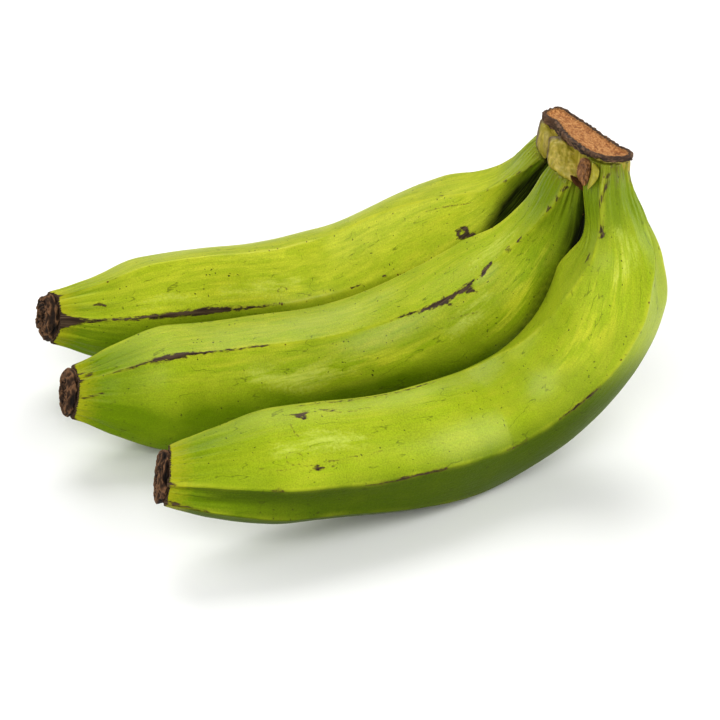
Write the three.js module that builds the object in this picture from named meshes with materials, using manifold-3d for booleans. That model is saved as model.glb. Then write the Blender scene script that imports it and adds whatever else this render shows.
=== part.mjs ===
// A hand of three green plantains joined at one cut crown.
//
// Three curved, ridged fingers hang from a woody crown that was cut through when the hand was
// taken off the bunch. Each finger ends in the dried remains of its flower. The hand lies on its
// bellies, with the crown raised, and touches the surface at three low spots, one under each
// finger.
//
// Millimetres, +Z up. The origin is on the resting surface, under the middle of the hand. The
// fingers point toward -X and fan out from front (-Y) to back (+Y).

import * as THREE from 'three';
import { mergeVertices } from 'three/addons/utils/BufferGeometryUtils.js';
import Module from 'manifold-3d';

// ---------------------------------------------------------------- driving dimensions

// Places along a finger, as a part of its length, where its radius is given. They are close
// together at the neck, where the finger swells from stalk to fruit.
const RADIUS_STATIONS = [0, 0.045, 0.09, 0.14, 0.2, 0.28, 0.4, 0.55, 0.7, 0.82, 0.92, 1];

// Places along a finger where the angles of its ridges are given.
const RIDGE_STATIONS = [0, 0.2, 0.45, 1];

// Each finger: the middle line from the neck to the flower end, the radius at each station, and
// the angle of each of its five ridges round the middle line, in degrees.
const FINGERS = {
  front: {
    spine: [
      [99, -28, 125.5], [104.5, -23.5, 89], [97, -19.5, 56.5], [78.5, -22, 33.5], [54.5, -32.5, 22.5],
      [23, -57, 24.5], [-10, -74.5, 29], [-39.5, -88.5, 32], [-64, -98, 36],
    ],
    radii: [8, 9, 13, 18, 21, 21.5, 21.5, 22.5, 21, 20.5, 15, 9.5],
    ridges: [
      [103, 140, 184, 196],
      [38, 54, 68, 84],
      [-20, 0, 18, 45],
      [-90, -80, -65, -55],
      [-165, -150, -115, -100],
    ],
  },
  middle: {
    spine: [
      [87.5, -10.5, 120], [82, 4, 93.5], [68.5, 13.5, 69.5], [42.5, 17.5, 45.5], [16.5, 16, 33],
      [-14.5, 10, 26], [-49.5, 1.5, 23], [-75, -8, 25.5], [-105.5, -22.5, 31.5],
    ],
    radii: [7, 9, 10.5, 12, 14.5, 19.5, 21.5, 21, 23, 22.5, 16, 9.5],
    ridges: [
      [104, 135, 152, 157],
      [38, 48, 50, 44],
      [-20, -10, -8, -12],
      [-90, -80, -75, -75],
      [-165, -155, -145, -142],
    ],
  },
  back: {
    spine: [
      [81.5, 14, 118], [69.5, 37.5, 91], [53.5, 56, 69.5], [29.5, 72.5, 47], [3, 79.5, 30.5],
      [-17.5, 79, 25.5], [-55.5, 68.5, 27.5], [-92, 52.5, 29], [-121.5, 39, 34.5],
    ],
    radii: [6.5, 7.5, 8.5, 10.5, 14.5, 21, 25.5, 26, 22.5, 22, 15, 9],
    ridges: [
      [128, 172, 192, 200],
      [75, 105, 132, 142],
      [10, 30, 45, 50],
      [-60, -50, -40, -35],
      [-150, -120, -105, -98],
    ],
  },
};

const RIDGE_RISE = 0.055; // how far a ridge stands out, as a part of the radius
const RIDGE_HALF_WIDTH = 17; // degrees
const COLUMNS_PER_FACET = 7; // columns of vertices from one ridge to the next
const FINGER_ROWS = 54;

const FLOWER_END_DEPTH = 4.2; // dried flower remains at the tip of each finger
const FLOWER_END_RADIUS = 9.8;
const FLOWER_END_COLUMNS = 27;
const SEAM = 0.3; // open seam between pieces that touch
const NECK_REACH = 40; // length of neck that the crown keeps clear of
const REST_LEVEL = 0; // the resting surface, where the bellies are pressed flat

// The cut face of the crown: its outline in plan, and its level.
const CROWN_OUTLINE = [
  [84, 23], [89.5, 14], [95.5, 2.5], [102, -11.5], [107.5, -22.5], [108, -29.5],
  [102, -31], [94.5, -26.5], [89, -15.5], [84, -0.5], [78.5, 9], [79, 18.5],
];
const CROWN_TOP = 131.5;
const CROWN_RIM = 4.5; // thickness of the dark rim below the cut face
const CROWN_OUTLINE_STEPS = 44;

// Pads of the crown, each swelling down to the neck of its finger, front to back: the middle line
// and the radii along it.
const PADS = [
  { path: [[102.5, -25, 130], [101, -27, 128], [99.5, -28, 125]], radii: [7, 8, 8] },
  { path: [[91, -7, 130], [89.5, -9.5, 125], [87.5, -10.5, 119.5]], radii: [7, 8.8, 7.2] },
  { path: [[84.5, 14.5, 130], [83, 13.5, 124], [81.5, 14, 117.5]], radii: [5.5, 6.6, 6.4] },
];
const PAD_STATIONS = [0, 0.55, 1];
const PAD_COLUMNS = 20;
const PAD_ROWS = 9;

// Dried bract stub and fresh fold that hang between the middle and front necks.
const STUBS = [
  { path: [[93, -21, 129], [92, -24, 124], [91, -25, 119.5]], radii: [3, 3.1, 0.9] },
  { path: [[96.5, -24.5, 129], [95, -28.5, 124.5], [94, -29.5, 119.5]], radii: [2.8, 2.4, 0.9] },
];
const STUB_COLUMNS = 10;
const STUB_ROWS = 7;

// ---------------------------------------------------------------- materials

const SKIN = { color: 0x8fb01e, roughness: 0.45, metalness: 0 };
const CROWN_WOOD = { color: 0xb98a55, roughness: 0.9, metalness: 0 };
const DRIED_FLOWER = { color: 0x4a382c, roughness: 0.95, metalness: 0 };

// ---------------------------------------------------------------- curves and frames

// A smooth line through (xs, ys) that never swings past its points.
function monotone(xs, ys) {
  const slope = xs.slice(1).map((x, i) => (ys[i + 1] - ys[i]) / (x - xs[i]));
  const tangent = ys.map((_, i) => {
    if (i === 0) return slope[0];
    if (i === ys.length - 1) return slope[i - 1];
    const [before, after] = [slope[i - 1], slope[i]];
    return before * after <= 0 ? 0 : (2 * before * after) / (before + after);
  });
  return (x) => {
    const last = xs.length - 2;
    const found = xs.findIndex((value) => value > x) - 1;
    const i = found < 0 ? last : Math.min(found, last);
    const step = xs[i + 1] - xs[i];
    const t = (x - xs[i]) / step;
    const [t2, t3] = [t * t, t * t * t];
    return (
      ys[i] * (2 * t3 - 3 * t2 + 1) +
      tangent[i] * step * (t3 - 2 * t2 + t) +
      ys[i + 1] * (3 * t2 - 2 * t3) +
      tangent[i + 1] * step * (t3 - t2)
    );
  };
}

function curveThrough(points) {
  const curve = new THREE.CatmullRomCurve3(points.map((p) => new THREE.Vector3(...p)));
  curve.arcLengthDivisions = 400;
  return curve;
}

// Steady frames along a curve: the sideways direction starts near +X and is never twisted.
function framesAlong(curve, stations) {
  const side = new THREE.Vector3(1, 0, 0);
  return stations.map((u) => {
    const along = curve.getTangentAt(u);
    side.addScaledVector(along, -side.dot(along)).normalize();
    const across = new THREE.Vector3().crossVectors(along, side);
    return { centre: curve.getPointAt(u), side: side.clone(), across, along };
  });
}

// ---------------------------------------------------------------- swept bodies

// A lathed rod with closed ends, bent along a curve. Each row of the rod has a frame and a
// radius; angleOf and swell give each column its angle and how far it stands out.
function bentRod({ frames, radii, columns, angleOf, swell, floor = -Infinity }) {
  const rows = [0, ...radii, 0];
  const profile = rows.map((radius, row) => new THREE.Vector2(radius, row));
  const rod = new THREE.LatheGeometry(profile, columns);
  const position = rod.attributes.position;
  const point = new THREE.Vector3();
  for (let i = 0; i < position.count; i += 1) {
    const row = i % rows.length;
    const column = Math.floor(i / rows.length) % columns;
    const ring = Math.min(Math.max(row - 1, 0), radii.length - 1);
    const { centre, side, across } = frames[ring];
    const angle = angleOf(column, ring);
    const reach = rows[row] * swell(angle, ring);
    point.copy(centre);
    point.addScaledVector(side, reach * Math.cos(angle));
    point.addScaledVector(across, reach * Math.sin(angle));
    position.setXYZ(i, point.x, point.y, Math.max(point.z, floor));
  }
  return closed(rod);
}

// The same geometry with shared corners, so that it is one closed surface.
function closed(geometry) {
  geometry.deleteAttribute('normal');
  geometry.deleteAttribute('uv');
  const merged = mergeVertices(geometry, 1e-4);
  const corners = [];
  for (let i = 0; i < merged.index.count; i += 3) {
    const face = [0, 1, 2].map((k) => merged.index.getX(i + k));
    if (new Set(face).size === 3) corners.push(...face);
  }
  merged.setIndex(corners);
  merged.computeVertexNormals();
  return merged;
}

function evenSteps(from, to, count) {
  return Array.from({ length: count }, (_, i) => from + ((to - from) * i) / (count - 1));
}

const radians = THREE.MathUtils.degToRad;

// Least angle between two directions, in degrees.
function apart(a, b) {
  return Math.abs(THREE.MathUtils.euclideanModulo(a - b + 180, 360) - 180);
}

// ---------------------------------------------------------------- fingers

// A finger: columns of vertices run along the five ridges and evenly between them.
function fingerGeometry({ spine, radii, ridges }, grow = 0, from = SEAM, to = null) {
  const curve = curveThrough(spine);
  const length = curve.getLength();
  const end = to ?? length - FLOWER_END_DEPTH - SEAM;
  const stations = evenSteps(from / length, end / length, FINGER_ROWS);
  const radiusAt = monotone(RADIUS_STATIONS, radii);
  const ridgeAt = ridges.map((angles) => monotone(RIDGE_STATIONS, angles));
  const crests = stations.map((u) => ridgeAt.map((at) => at(u)).sort((a, b) => a - b));
  const columns = ridges.length * COLUMNS_PER_FACET;

  const angleOf = (column, ring) => {
    const facet = Math.floor(column / COLUMNS_PER_FACET);
    const from = crests[ring][facet];
    const to = crests[ring][facet + 1] ?? crests[ring][0] + 360;
    return radians(from + ((to - from) * (column % COLUMNS_PER_FACET)) / COLUMNS_PER_FACET);
  };
  const swell = (angle, ring) => {
    const degrees = THREE.MathUtils.radToDeg(angle);
    const rise = crests[ring].map((crest) => Math.exp(-((apart(degrees, crest) / RIDGE_HALF_WIDTH) ** 2)));
    return 1 + RIDGE_RISE * rise.reduce((sum, value) => sum + value, 0);
  };
  return bentRod({
    frames: framesAlong(curve, stations),
    radii: stations.map((u) => radiusAt(u) + grow),
    columns,
    angleOf,
    swell,
    floor: REST_LEVEL,
  });
}

// ---------------------------------------------------------------- dried flower ends

// A short dark cup with a knobbly rim and a sunken face, past the tip of a finger.
function flowerEndGeometry({ spine }) {
  const curve = curveThrough(spine);
  const back = 1 - FLOWER_END_DEPTH / curve.getLength();
  const depths = [0, 0.15, 0.45, 0.75, 0.95, 1, 0.8, 0.62];
  const parts = [0.86, 0.96, 1, 0.97, 0.86, 0.68, 0.46, 0.22];
  const frames = framesAlong(curve, depths.map((depth) => back + (1 - back) * depth));
  return bentRod({
    frames,
    radii: parts.map((part) => part * FLOWER_END_RADIUS),
    columns: FLOWER_END_COLUMNS,
    angleOf: (column) => (2 * Math.PI * column) / FLOWER_END_COLUMNS,
    swell: (angle) => 1 + 0.035 * Math.cos(5 * angle + 0.6) + 0.03 * Math.cos(9 * angle),
  });
}

// ---------------------------------------------------------------- crown

function roundRod({ path, radii }, columns, rows) {
  const curve = curveThrough(path);
  const stations = evenSteps(0, 1, rows);
  const radiusAt = monotone(PAD_STATIONS, radii);
  return bentRod({
    frames: framesAlong(curve, stations),
    radii: stations.map(radiusAt),
    columns,
    angleOf: (column) => (2 * Math.PI * column) / columns,
    swell: () => 1,
  });
}

// The woody plate that was cut through, with its flat face up.
function crownPlateGeometry() {
  const outline = new THREE.CatmullRomCurve3(
    CROWN_OUTLINE.map(([x, y]) => new THREE.Vector3(x, y, 0)),
    true,
  );
  const rim = outline.getSpacedPoints(CROWN_OUTLINE_STEPS).slice(0, -1);
  const shape = new THREE.Shape(rim.map((p) => new THREE.Vector2(p.x, p.y)));
  const plate = new THREE.ExtrudeGeometry(shape, { depth: CROWN_RIM, bevelEnabled: false });
  plate.translate(0, 0, CROWN_TOP - CROWN_RIM);
  return closed(plate);
}

const wasm = await Module();
wasm.setup();

function toSolid(geometry) {
  return new wasm.Manifold(
    new wasm.Mesh({
      numProp: 3,
      vertProperties: new Float32Array(geometry.attributes.position.array),
      triVerts: new Uint32Array(geometry.index.array),
    }),
  );
}

function fromSolid(solid) {
  const { vertProperties, triVerts } = solid.getMesh();
  const geometry = new THREE.BufferGeometry();
  geometry.setAttribute('position', new THREE.BufferAttribute(new Float32Array(vertProperties), 3));
  geometry.setIndex(new THREE.BufferAttribute(new Uint32Array(triVerts), 1));
  geometry.computeVertexNormals();
  return geometry;
}

// The plate, its pads and its stubs as one solid, clear of the three necks. The cut can leave a
// loose sliver beside a neck, so only the largest body is kept.
function crownGeometry() {
  let crown = toSolid(crownPlateGeometry());
  for (const pad of PADS) crown = crown.add(toSolid(roundRod(pad, PAD_COLUMNS, PAD_ROWS)));
  for (const stub of STUBS) crown = crown.add(toSolid(roundRod(stub, STUB_COLUMNS, STUB_ROWS)));
  for (const finger of Object.values(FINGERS)) {
    crown = crown.subtract(toSolid(fingerGeometry(finger, SEAM, 0, NECK_REACH)));
  }
  const bodies = crown.trimByPlane([0, 0, -1], -CROWN_TOP).decompose();
  bodies.sort((a, b) => b.volume() - a.volume());
  return fromSolid(bodies[0]);
}

// ---------------------------------------------------------------- the hand

function piece(name, geometry, look) {
  const mesh = new THREE.Mesh(geometry, new THREE.MeshStandardMaterial(look));
  mesh.name = name;
  return mesh;
}

const hand = new THREE.Group();
hand.name = 'plantain_hand';
for (const [place, finger] of Object.entries(FINGERS)) {
  hand.add(piece(`finger_${place}`, fingerGeometry(finger), SKIN));
  hand.add(piece(`flower_end_${place}`, flowerEndGeometry(finger), DRIED_FLOWER));
}
hand.add(piece('crown', crownGeometry(), CROWN_WOOD));

export default hand;
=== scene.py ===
# %% [markdown]
# # A hand of green plantains
# This lesson dresses a hand of three green plantains. The hand hangs together at one woody crown,
# which was cut through when it was taken off the bunch, and it lies on its bellies. The fixed
# frame is the measured model of it. Every piece made here sits in that frame, in metres.

# %% Load the frame
import math

import bpy
import numpy as np
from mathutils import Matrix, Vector
from mathutils.kdtree import KDTree


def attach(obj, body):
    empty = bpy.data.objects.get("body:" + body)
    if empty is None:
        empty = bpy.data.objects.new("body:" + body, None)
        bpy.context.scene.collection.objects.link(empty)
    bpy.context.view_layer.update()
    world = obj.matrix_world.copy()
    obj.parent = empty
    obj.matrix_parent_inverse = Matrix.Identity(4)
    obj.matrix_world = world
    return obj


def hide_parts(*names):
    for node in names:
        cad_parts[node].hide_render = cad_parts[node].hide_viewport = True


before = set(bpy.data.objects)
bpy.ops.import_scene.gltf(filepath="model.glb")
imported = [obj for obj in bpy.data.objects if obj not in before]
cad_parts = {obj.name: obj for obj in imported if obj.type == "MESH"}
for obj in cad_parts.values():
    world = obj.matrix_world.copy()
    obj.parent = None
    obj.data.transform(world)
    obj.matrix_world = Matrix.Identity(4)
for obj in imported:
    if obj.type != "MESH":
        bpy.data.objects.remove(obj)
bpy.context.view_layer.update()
MM = 0.001

# %% [markdown]
# ## Two small helpers
# A maker writes colours as hex values, the way a colour picker shows them. Blender wants linear
# light, so one function turns one into the other. The second function adds a node to any tree:
# settings are the node's own properties, and inputs are values or the nodes that feed them. An
# input is named, or numbered where names repeat: a Map Range has its value first and then the
# low and high ends of what goes in and of what comes out, and a Mix has its two colours at 6 and 7.

# %% Colour and node helpers
def linear(hex_colour):
    """A hex colour as linear light, with full cover."""
    parts = [int(hex_colour[i:i + 2], 16) / 255 for i in (1, 3, 5)]
    curve = [p / 12.92 if p <= 0.04045 else ((p + 0.055) / 1.055) ** 2.4 for p in parts]
    return (*curve, 1.0)


def add(tree, kind, inputs=None, **settings):
    """A new node with its settings, its values and its links."""
    made = tree.nodes.new(kind)
    for setting, value in settings.items():
        setattr(made, setting, value)
    for key, value in (inputs or {}).items():
        if isinstance(value, bpy.types.Node):
            value = next(socket for socket in value.outputs if socket.enabled)
        if isinstance(value, bpy.types.NodeSocket):
            tree.links.new(value, made.inputs[key])
        else:
            made.inputs[key].default_value = value
    return made


print("middle grey in linear light:", round(linear("#808080")[0], 3))

# %% [markdown]
# ## The camera
# A long lens from a metre away keeps the shapes calm: what is far comes out nearly as large as
# what is near. It looks down at the hand from a little under 30 degrees.

# %% Camera
CAMERA_ELEVATION = math.radians(26.5)
CAMERA_DISTANCE = 1000 * MM
LENS_LENGTH, FILM_WIDTH = 130, 36
LOOK_AT = Vector((8.0, -21.5, 45.0)) * MM

lens = bpy.data.cameras.new("long_lens")
lens.lens = LENS_LENGTH
lens.sensor_width = FILM_WIDTH
camera = bpy.data.objects.new("camera", lens)
bpy.context.collection.objects.link(camera)
away = Vector((0, -math.cos(CAMERA_ELEVATION), math.sin(CAMERA_ELEVATION)))
camera.location = LOOK_AT + away * CAMERA_DISTANCE
camera.rotation_euler = (math.pi / 2 - CAMERA_ELEVATION, 0, 0)
bpy.context.scene.camera = camera
print("camera at", [round(v, 3) for v in camera.location])

# %% [markdown]
# ## The facts of each finger
# A plantain is a stalk that swells into a five-sided fruit. Each finger is told by its middle
# line from the neck to the flower end, its radius at a few places along that line, and the angle
# of each of its five ridges. The numbers start from those of the frame's solids and are fitted a
# little closer, with more stations at the necks and the tips. The middle finger also bulges
# towards its neighbour, and the tips of two fingers are turned a little, as if looking round.
# Lengths are in millimetres and angles in degrees, and places along a finger are shares of its
# length. `starts` is where along the middle line the peel begins.

# %% Finger facts
FLOWER_END_DEPTH = 4.2
SEAM = 0.3
BULGE_ANGLE = 38
# Ribs of both ends: how deep, how wide, how far they run, how much they are drawn out along the
# finger, and how much sooner they fade at the tip than at the neck.
RIB_DEPTH = 4.4 * MM
RIB_SIZE = 5.5 * MM
RIB_LENGTH = 42 * MM
RIB_DRAW = (1.0, 1.0, 0.12)
RIB_TIP_FADE = 1.1
# The necks end at this height, under the cut crown.
NECK_TOP = 129.0 * MM
RADIUS_STATIONS = [0, 0.026, 0.045, 0.09, 0.14, 0.2, 0.28, 0.4, 0.55, 0.7, 0.82, 0.92, 0.965, 1]
FINGERS = {
    "front": {
        "spine": [
            (100.3, -22.8, 125.5), (100.5, -24, 117), (103.6, -24, 102), (104.6, -23.4, 87),
            (97, -19.5, 56.5), (78.5, -22, 33.5), (54.5, -32.5, 22.5), (23, -57, 24.5),
            (-10, -74.5, 29), (-39.5, -88.5, 32), (-66, -98.8, 36.3),
        ],
        "starts": -4.2, "tip_turn": -15, "bulge": [(0, 0), (1, 0)],
        "radii": [6.9, 8.3, 8.8, 10.8, 15.6, 20.6, 21.5, 21.5, 22.5, 21, 20.5, 15.5, 12, 8.8],
        "ridges": [
            [(0, -165), (0.2, -150), (0.45, -115), (1, -100)],
            [(0, -90), (0.2, -80), (0.45, -65), (1, -55)],
            [(0, -20), (0.2, 0), (0.45, 20), (0.85, 44), (1, 50)],
            [(0, 33), (0.05, 20), (0.09, 20), (0.12, 32), (0.15, 50), (0.18, 58), (0.23, 67),
             (0.31, 74), (0.38, 79), (0.63, 80), (0.72, 75), (0.8, 77), (0.92, 85), (1, 92)],
            [(0, 105), (0.055, 117), (0.1, 133), (0.14, 140), (0.18, 146), (0.26, 157),
             (0.35, 168), (0.43, 179), (0.6, 177), (0.72, 179), (0.8, 181), (0.9, 185), (1, 189)],
        ],
    },
    "middle": {
        "spine": [
            (87.5, -10.5, 120), (82, 4, 93.5), (68.5, 13.5, 69.5), (42.5, 17.5, 45.5),
            (16.5, 16, 33), (-14.5, 10, 26), (-49.5, 1.5, 23), (-75, -8, 25.5),
            (-107.3, -23.3, 31.9),
        ],
        "starts": SEAM, "tip_turn": -9,
        "bulge": [(0, 0.4), (0.05, 2.0), (0.1, 3.4), (0.16, 3.9), (0.27, 3.5), (0.36, 3.8),
                  (0.45, 2.2), (0.55, 0), (1, 0)],
        "radii": [7, 8.2, 9, 10.5, 12, 14.5, 19.5, 21.5, 21, 23, 22.5, 15.6, 10.8, 8],
        "ridges": [
            [(0, -165), (0.2, -155), (0.45, -145), (1, -142)],
            [(0, -90), (0.2, -80), (0.45, -75), (1, -75)],
            [(0, -20), (0.2, -10), (0.45, -8), (1, -12)],
            [(0, 45), (0.05, 58), (0.1, 68), (0.15, 62), (0.25, 52), (0.45, 50), (1, 44)],
            [(0, 103), (0.037, 117), (0.06, 125), (0.09, 133), (0.15, 142), (0.2, 147),
             (0.28, 141), (0.34, 144), (0.45, 151), (0.62, 157), (0.75, 160), (0.87, 159),
             (1, 153)],
        ],
    },
    "back": {
        "spine": [
            (81.5, 14, 118), (69.5, 37.5, 91), (53.5, 56, 69.5), (29.5, 72.5, 47),
            (3, 79.5, 30.5), (-17.5, 79, 25.5), (-55.5, 68.5, 27.5), (-92, 52.5, 29),
            (-121.5, 39, 34.5),
        ],
        "starts": SEAM, "tip_turn": 0, "bulge": [(0, 0), (1, 0)],
        "radii": [6.5, 7.1, 7.5, 8.5, 10.5, 14.5, 21, 25.5, 26, 22.5, 22, 14.8, 10.8, 8.3],
        "ridges": [
            [(0, -150), (0.2, -120), (0.45, -105), (1, -98)],
            [(0, -60), (0.2, -50), (0.45, -40), (1, -35)],
            [(0, 10), (0.2, 30), (0.45, 45), (1, 50)],
            [(0, 78), (0.2, 112), (0.3, 127), (0.4, 138), (0.55, 144), (0.72, 138),
             (0.86, 142), (1, 134)],
            [(0, 130), (0.055, 149), (0.08, 159), (0.127, 168), (0.15, 172), (0.186, 184),
             (0.25, 193), (0.45, 197), (1, 200)],
        ],
    },
}
print("fingers:", ", ".join(FINGERS))

# %% [markdown]
# ## A smooth middle line
# A Catmull-Rom curve passes through every point it is given. Its centripetal kind, where each
# span is weighted by the root of its length, never loops or overshoots. The line is then walked
# at even steps. At each step it needs a sideways direction that never twists, so the ridges run
# true: the last sideways direction is carried on, and squared up to the new heading.

# %% Smooth curves
def curve_through(points, steps_per_span=120):
    """A centripetal Catmull-Rom curve through points."""
    p = np.array(points, float)
    p = np.vstack([2 * p[0] - p[1], p, 2 * p[-1] - p[-2]])
    gap = np.linalg.norm(np.diff(p, axis=0), axis=1) ** 0.5
    t = np.linspace(0, 1, steps_per_span, endpoint=False)[:, None]
    spans = []
    for i in range(1, len(p) - 2):
        before, here, after = gap[i - 1:i + 2]
        forward = (p[i + 1] - p[i]) / here
        leave = (p[i] - p[i - 1]) / before - (p[i + 1] - p[i - 1]) / (before + here) + forward
        arrive = forward - (p[i + 2] - p[i]) / (here + after) + (p[i + 2] - p[i + 1]) / after
        spans.append(
            p[i] * (2 * t**3 - 3 * t**2 + 1) + leave * here * (t**3 - 2 * t**2 + t)
            + p[i + 1] * (3 * t**2 - 2 * t**3) + arrive * here * (t**3 - t**2)
        )
    return np.vstack([*spans, p[-2]])


def monotone(xs, ys, at):
    """A smooth curve through points that never swings past them."""
    xs, ys, at = np.array(xs, float), np.array(ys, float), np.asarray(at, float)
    slope = np.diff(ys) / np.diff(xs)
    tangent = np.concatenate([slope[:1], np.zeros(len(slope) - 1), slope[-1:]])
    before, after = slope[:-1], slope[1:]
    steady = before * after > 0
    tangent[1:-1][steady] = (2 * before * after)[steady] / (before + after)[steady]
    i = np.clip(np.searchsorted(xs, at, side="right") - 1, 0, len(xs) - 2)
    step = xs[i + 1] - xs[i]
    t = (at - xs[i]) / step
    return (
        ys[i] * (2 * t**3 - 3 * t**2 + 1) + tangent[i] * step * (t**3 - 2 * t**2 + t)
        + ys[i + 1] * (3 * t**2 - 2 * t**3) + tangent[i + 1] * step * (t**3 - t**2)
    )


arch = curve_through([(0, 0, 0), (50, 0, 20), (100, 0, 0)])
print("a curve through three places:", len(arch), "points, its top at", round(float(arch[:, 2].max()), 1))

# %% Walking along a line
# The line runs straight on past its start, and headings are measured over a millimetre.
RUN_UP = 10
HEADING_STEP = 0.5


def travelled(line):
    """How far along a line each of its points lies."""
    return np.concatenate([[0], np.cumsum(np.linalg.norm(np.diff(line, axis=0), axis=1))])


def walk(points, stations):
    """Places along a middle line, with its heading and two sideways directions at each."""
    line = curve_through(points)
    reach = travelled(line)
    before = (line[0] - line[1]) / reach[1]
    line, reach = np.vstack([line[0] + RUN_UP * before, line]), np.concatenate([[-RUN_UP], reach])
    behind, centres, ahead = (
        np.stack([np.interp(stations + step, reach, line[:, k]) for k in range(3)], 1)
        for step in (-HEADING_STEP, 0, HEADING_STEP)
    )
    along = (ahead - behind) / np.linalg.norm(ahead - behind, axis=1)[:, None]
    side, sides = np.array([1.0, 0, 0]), []
    for heading in along:
        side = side - (side @ heading) * heading
        side /= np.linalg.norm(side)
        sides.append(side)
    sides = np.array(sides)
    return centres, along, sides, np.cross(along, sides)


for name, finger in FINGERS.items():
    finger["length"] = travelled(curve_through(finger["spine"]))[-1]
    print(f"{name} finger: {finger['length']:.0f} mm along its middle line")

# %% [markdown]
# ## Sweeping a ridged fruit with Geometry Nodes
# The fruit follows a rule: five ridges run from neck to tip, and the wall between two of them is
# a shallow facet. Modelling that by hand would never keep the ridges even, so a node tree does
# it. A line of points goes in, one for each ring, and each carries its sideways directions, its
# radius and its five ridge angles. The tree lays out a grid, looks up the ring for each row,
# finds the facet for each column, and places the point. Along the ridges the wall stands out,
# and how sharply it does so is one more number of the ring, because a plantain is angular at
# the neck and the tip, and rounder at the belly.

# %% Geometry Nodes: the finger sweep
RIDGE_COUNT = 5
FACET_COLUMNS = 40
FINGER_RINGS = 330
# The rise of a facet's wall averages a third, so this much is taken off to keep the mean radius.
MEAN_RISE = 0.33
FULLNESS = 1.02

sweep = bpy.data.node_groups.new("finger_sweep", "GeometryNodeTree")
sweep.is_modifier = True
for label, kind in (
    ("Rings", "NodeSocketGeometry"), ("Ring Count", "NodeSocketInt"), ("Columns a Facet", "NodeSocketInt"),
    ("Dent Depth", "NodeSocketFloat"), ("Dent Size", "NodeSocketFloat"), ("Rib Depth", "NodeSocketFloat"),
    ("Rib Size", "NodeSocketFloat"), ("Rib Length", "NodeSocketFloat"), ("Finger Length", "NodeSocketFloat"),
    ("Bulge Angle", "NodeSocketFloat"), ("Cut Height", "NodeSocketFloat"), ("Skin", "NodeSocketMaterial"),
):
    sweep.interface.new_socket(label, in_out="INPUT", socket_type=kind)
sweep.interface.new_socket("Finger", in_out="OUTPUT", socket_type="NodeSocketGeometry")
given = add(sweep, "NodeGroupInput").outputs

columns = add(sweep, "ShaderNodeMath", {0: given["Columns a Facet"], 1: RIDGE_COUNT}, operation="MULTIPLY")
edge_columns = add(sweep, "ShaderNodeMath", {0: columns, 1: 1.0}, operation="ADD")
grid = add(sweep, "GeometryNodeMeshGrid", {"Vertices X": edge_columns, "Vertices Y": given["Ring Count"]})
index = add(sweep, "GeometryNodeInputIndex")
ratio = add(sweep, "ShaderNodeMath", {0: index, 1: given["Ring Count"]}, operation="DIVIDE")
column = add(sweep, "ShaderNodeMath", {0: ratio}, operation="FLOOR")
ring = add(sweep, "ShaderNodeMath", {0: index, 1: given["Ring Count"]}, operation="MODULO")

at_ring = {}
for name, kind in (
    ("centre", "FLOAT_VECTOR"), ("side", "FLOAT_VECTOR"), ("across", "FLOAT_VECTOR"),
    ("radius", "FLOAT"), ("crest_rise", "FLOAT"), ("along", "FLOAT"), ("bulge", "FLOAT"),
    *((f"ridge_{k}", "FLOAT") for k in range(RIDGE_COUNT)),
):
    carried = add(sweep, "GeometryNodeInputNamedAttribute", {"Name": name}, data_type=kind)
    at_ring[name] = add(
        sweep, "GeometryNodeSampleIndex",
        {"Geometry": given["Rings"], "Value": carried, "Index": ring}, data_type=kind,
    )
print("finger rings carry:", ", ".join(at_ring))

# %% The sweep: which facet, and how far round it
facet_ratio = add(sweep, "ShaderNodeMath", {0: column, 1: given["Columns a Facet"]}, operation="DIVIDE")
facet = add(sweep, "ShaderNodeMath", {0: facet_ratio}, operation="FLOOR")
part = add(sweep, "ShaderNodeMath", {0: facet_ratio}, operation="FRACT")
first_again = add(sweep, "ShaderNodeMath", {0: at_ring["ridge_0"], 1: math.tau}, operation="ADD")
crests = [at_ring[f"ridge_{k}"] for k in range(RIDGE_COUNT)] + [first_again, first_again]
ends = []
for shift in (0, 1):
    choice = add(sweep, "GeometryNodeIndexSwitch", {"Index": facet}, data_type="FLOAT")
    while len(choice.index_switch_items) < RIDGE_COUNT + 1:
        choice.index_switch_items.new()
    for k in range(RIDGE_COUNT + 1):
        value = crests[k + shift]
        sweep.links.new(next(s for s in value.outputs if s.enabled), choice.inputs[k + 1])
    ends.append(choice)
angle = add(sweep, "ShaderNodeMix", {0: part, 2: ends[0], 3: ends[1]}, clamp_factor=False)
print("finger sweep:", len(sweep.nodes), "nodes so far")

# %% The sweep: placing each point
# The facet is lowest half way between two ridges, and stands out as the square of the distance.
twice = add(sweep, "ShaderNodeMath", {0: part, 1: 2.0, 2: -1.0}, operation="MULTIPLY_ADD")
bowl = add(sweep, "ShaderNodeMath", {0: twice, 1: 2.0}, operation="POWER")
rise = add(sweep, "ShaderNodeMath", {0: bowl, 1: -MEAN_RISE}, operation="ADD")
swell = add(sweep, "ShaderNodeMath", {0: rise, 1: at_ring["crest_rise"], 2: FULLNESS},
            operation="MULTIPLY_ADD")
grown = add(sweep, "ShaderNodeMath", {0: swell, 1: at_ring["radius"]}, operation="MULTIPLY")
off_bulge = add(sweep, "ShaderNodeMath", {0: angle, 1: given["Bulge Angle"]}, operation="SUBTRACT")
toward = add(sweep, "ShaderNodeMath", {0: off_bulge}, operation="COSINE")
facing = add(sweep, "ShaderNodeMath", {0: toward, 1: 0.0}, operation="MAXIMUM")
lobe = add(sweep, "ShaderNodeMath", {0: facing, 1: 2.0}, operation="POWER")
reach = add(sweep, "ShaderNodeMath", {0: lobe, 1: at_ring["bulge"], 2: grown}, operation="MULTIPLY_ADD")
point = at_ring["centre"]
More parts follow.
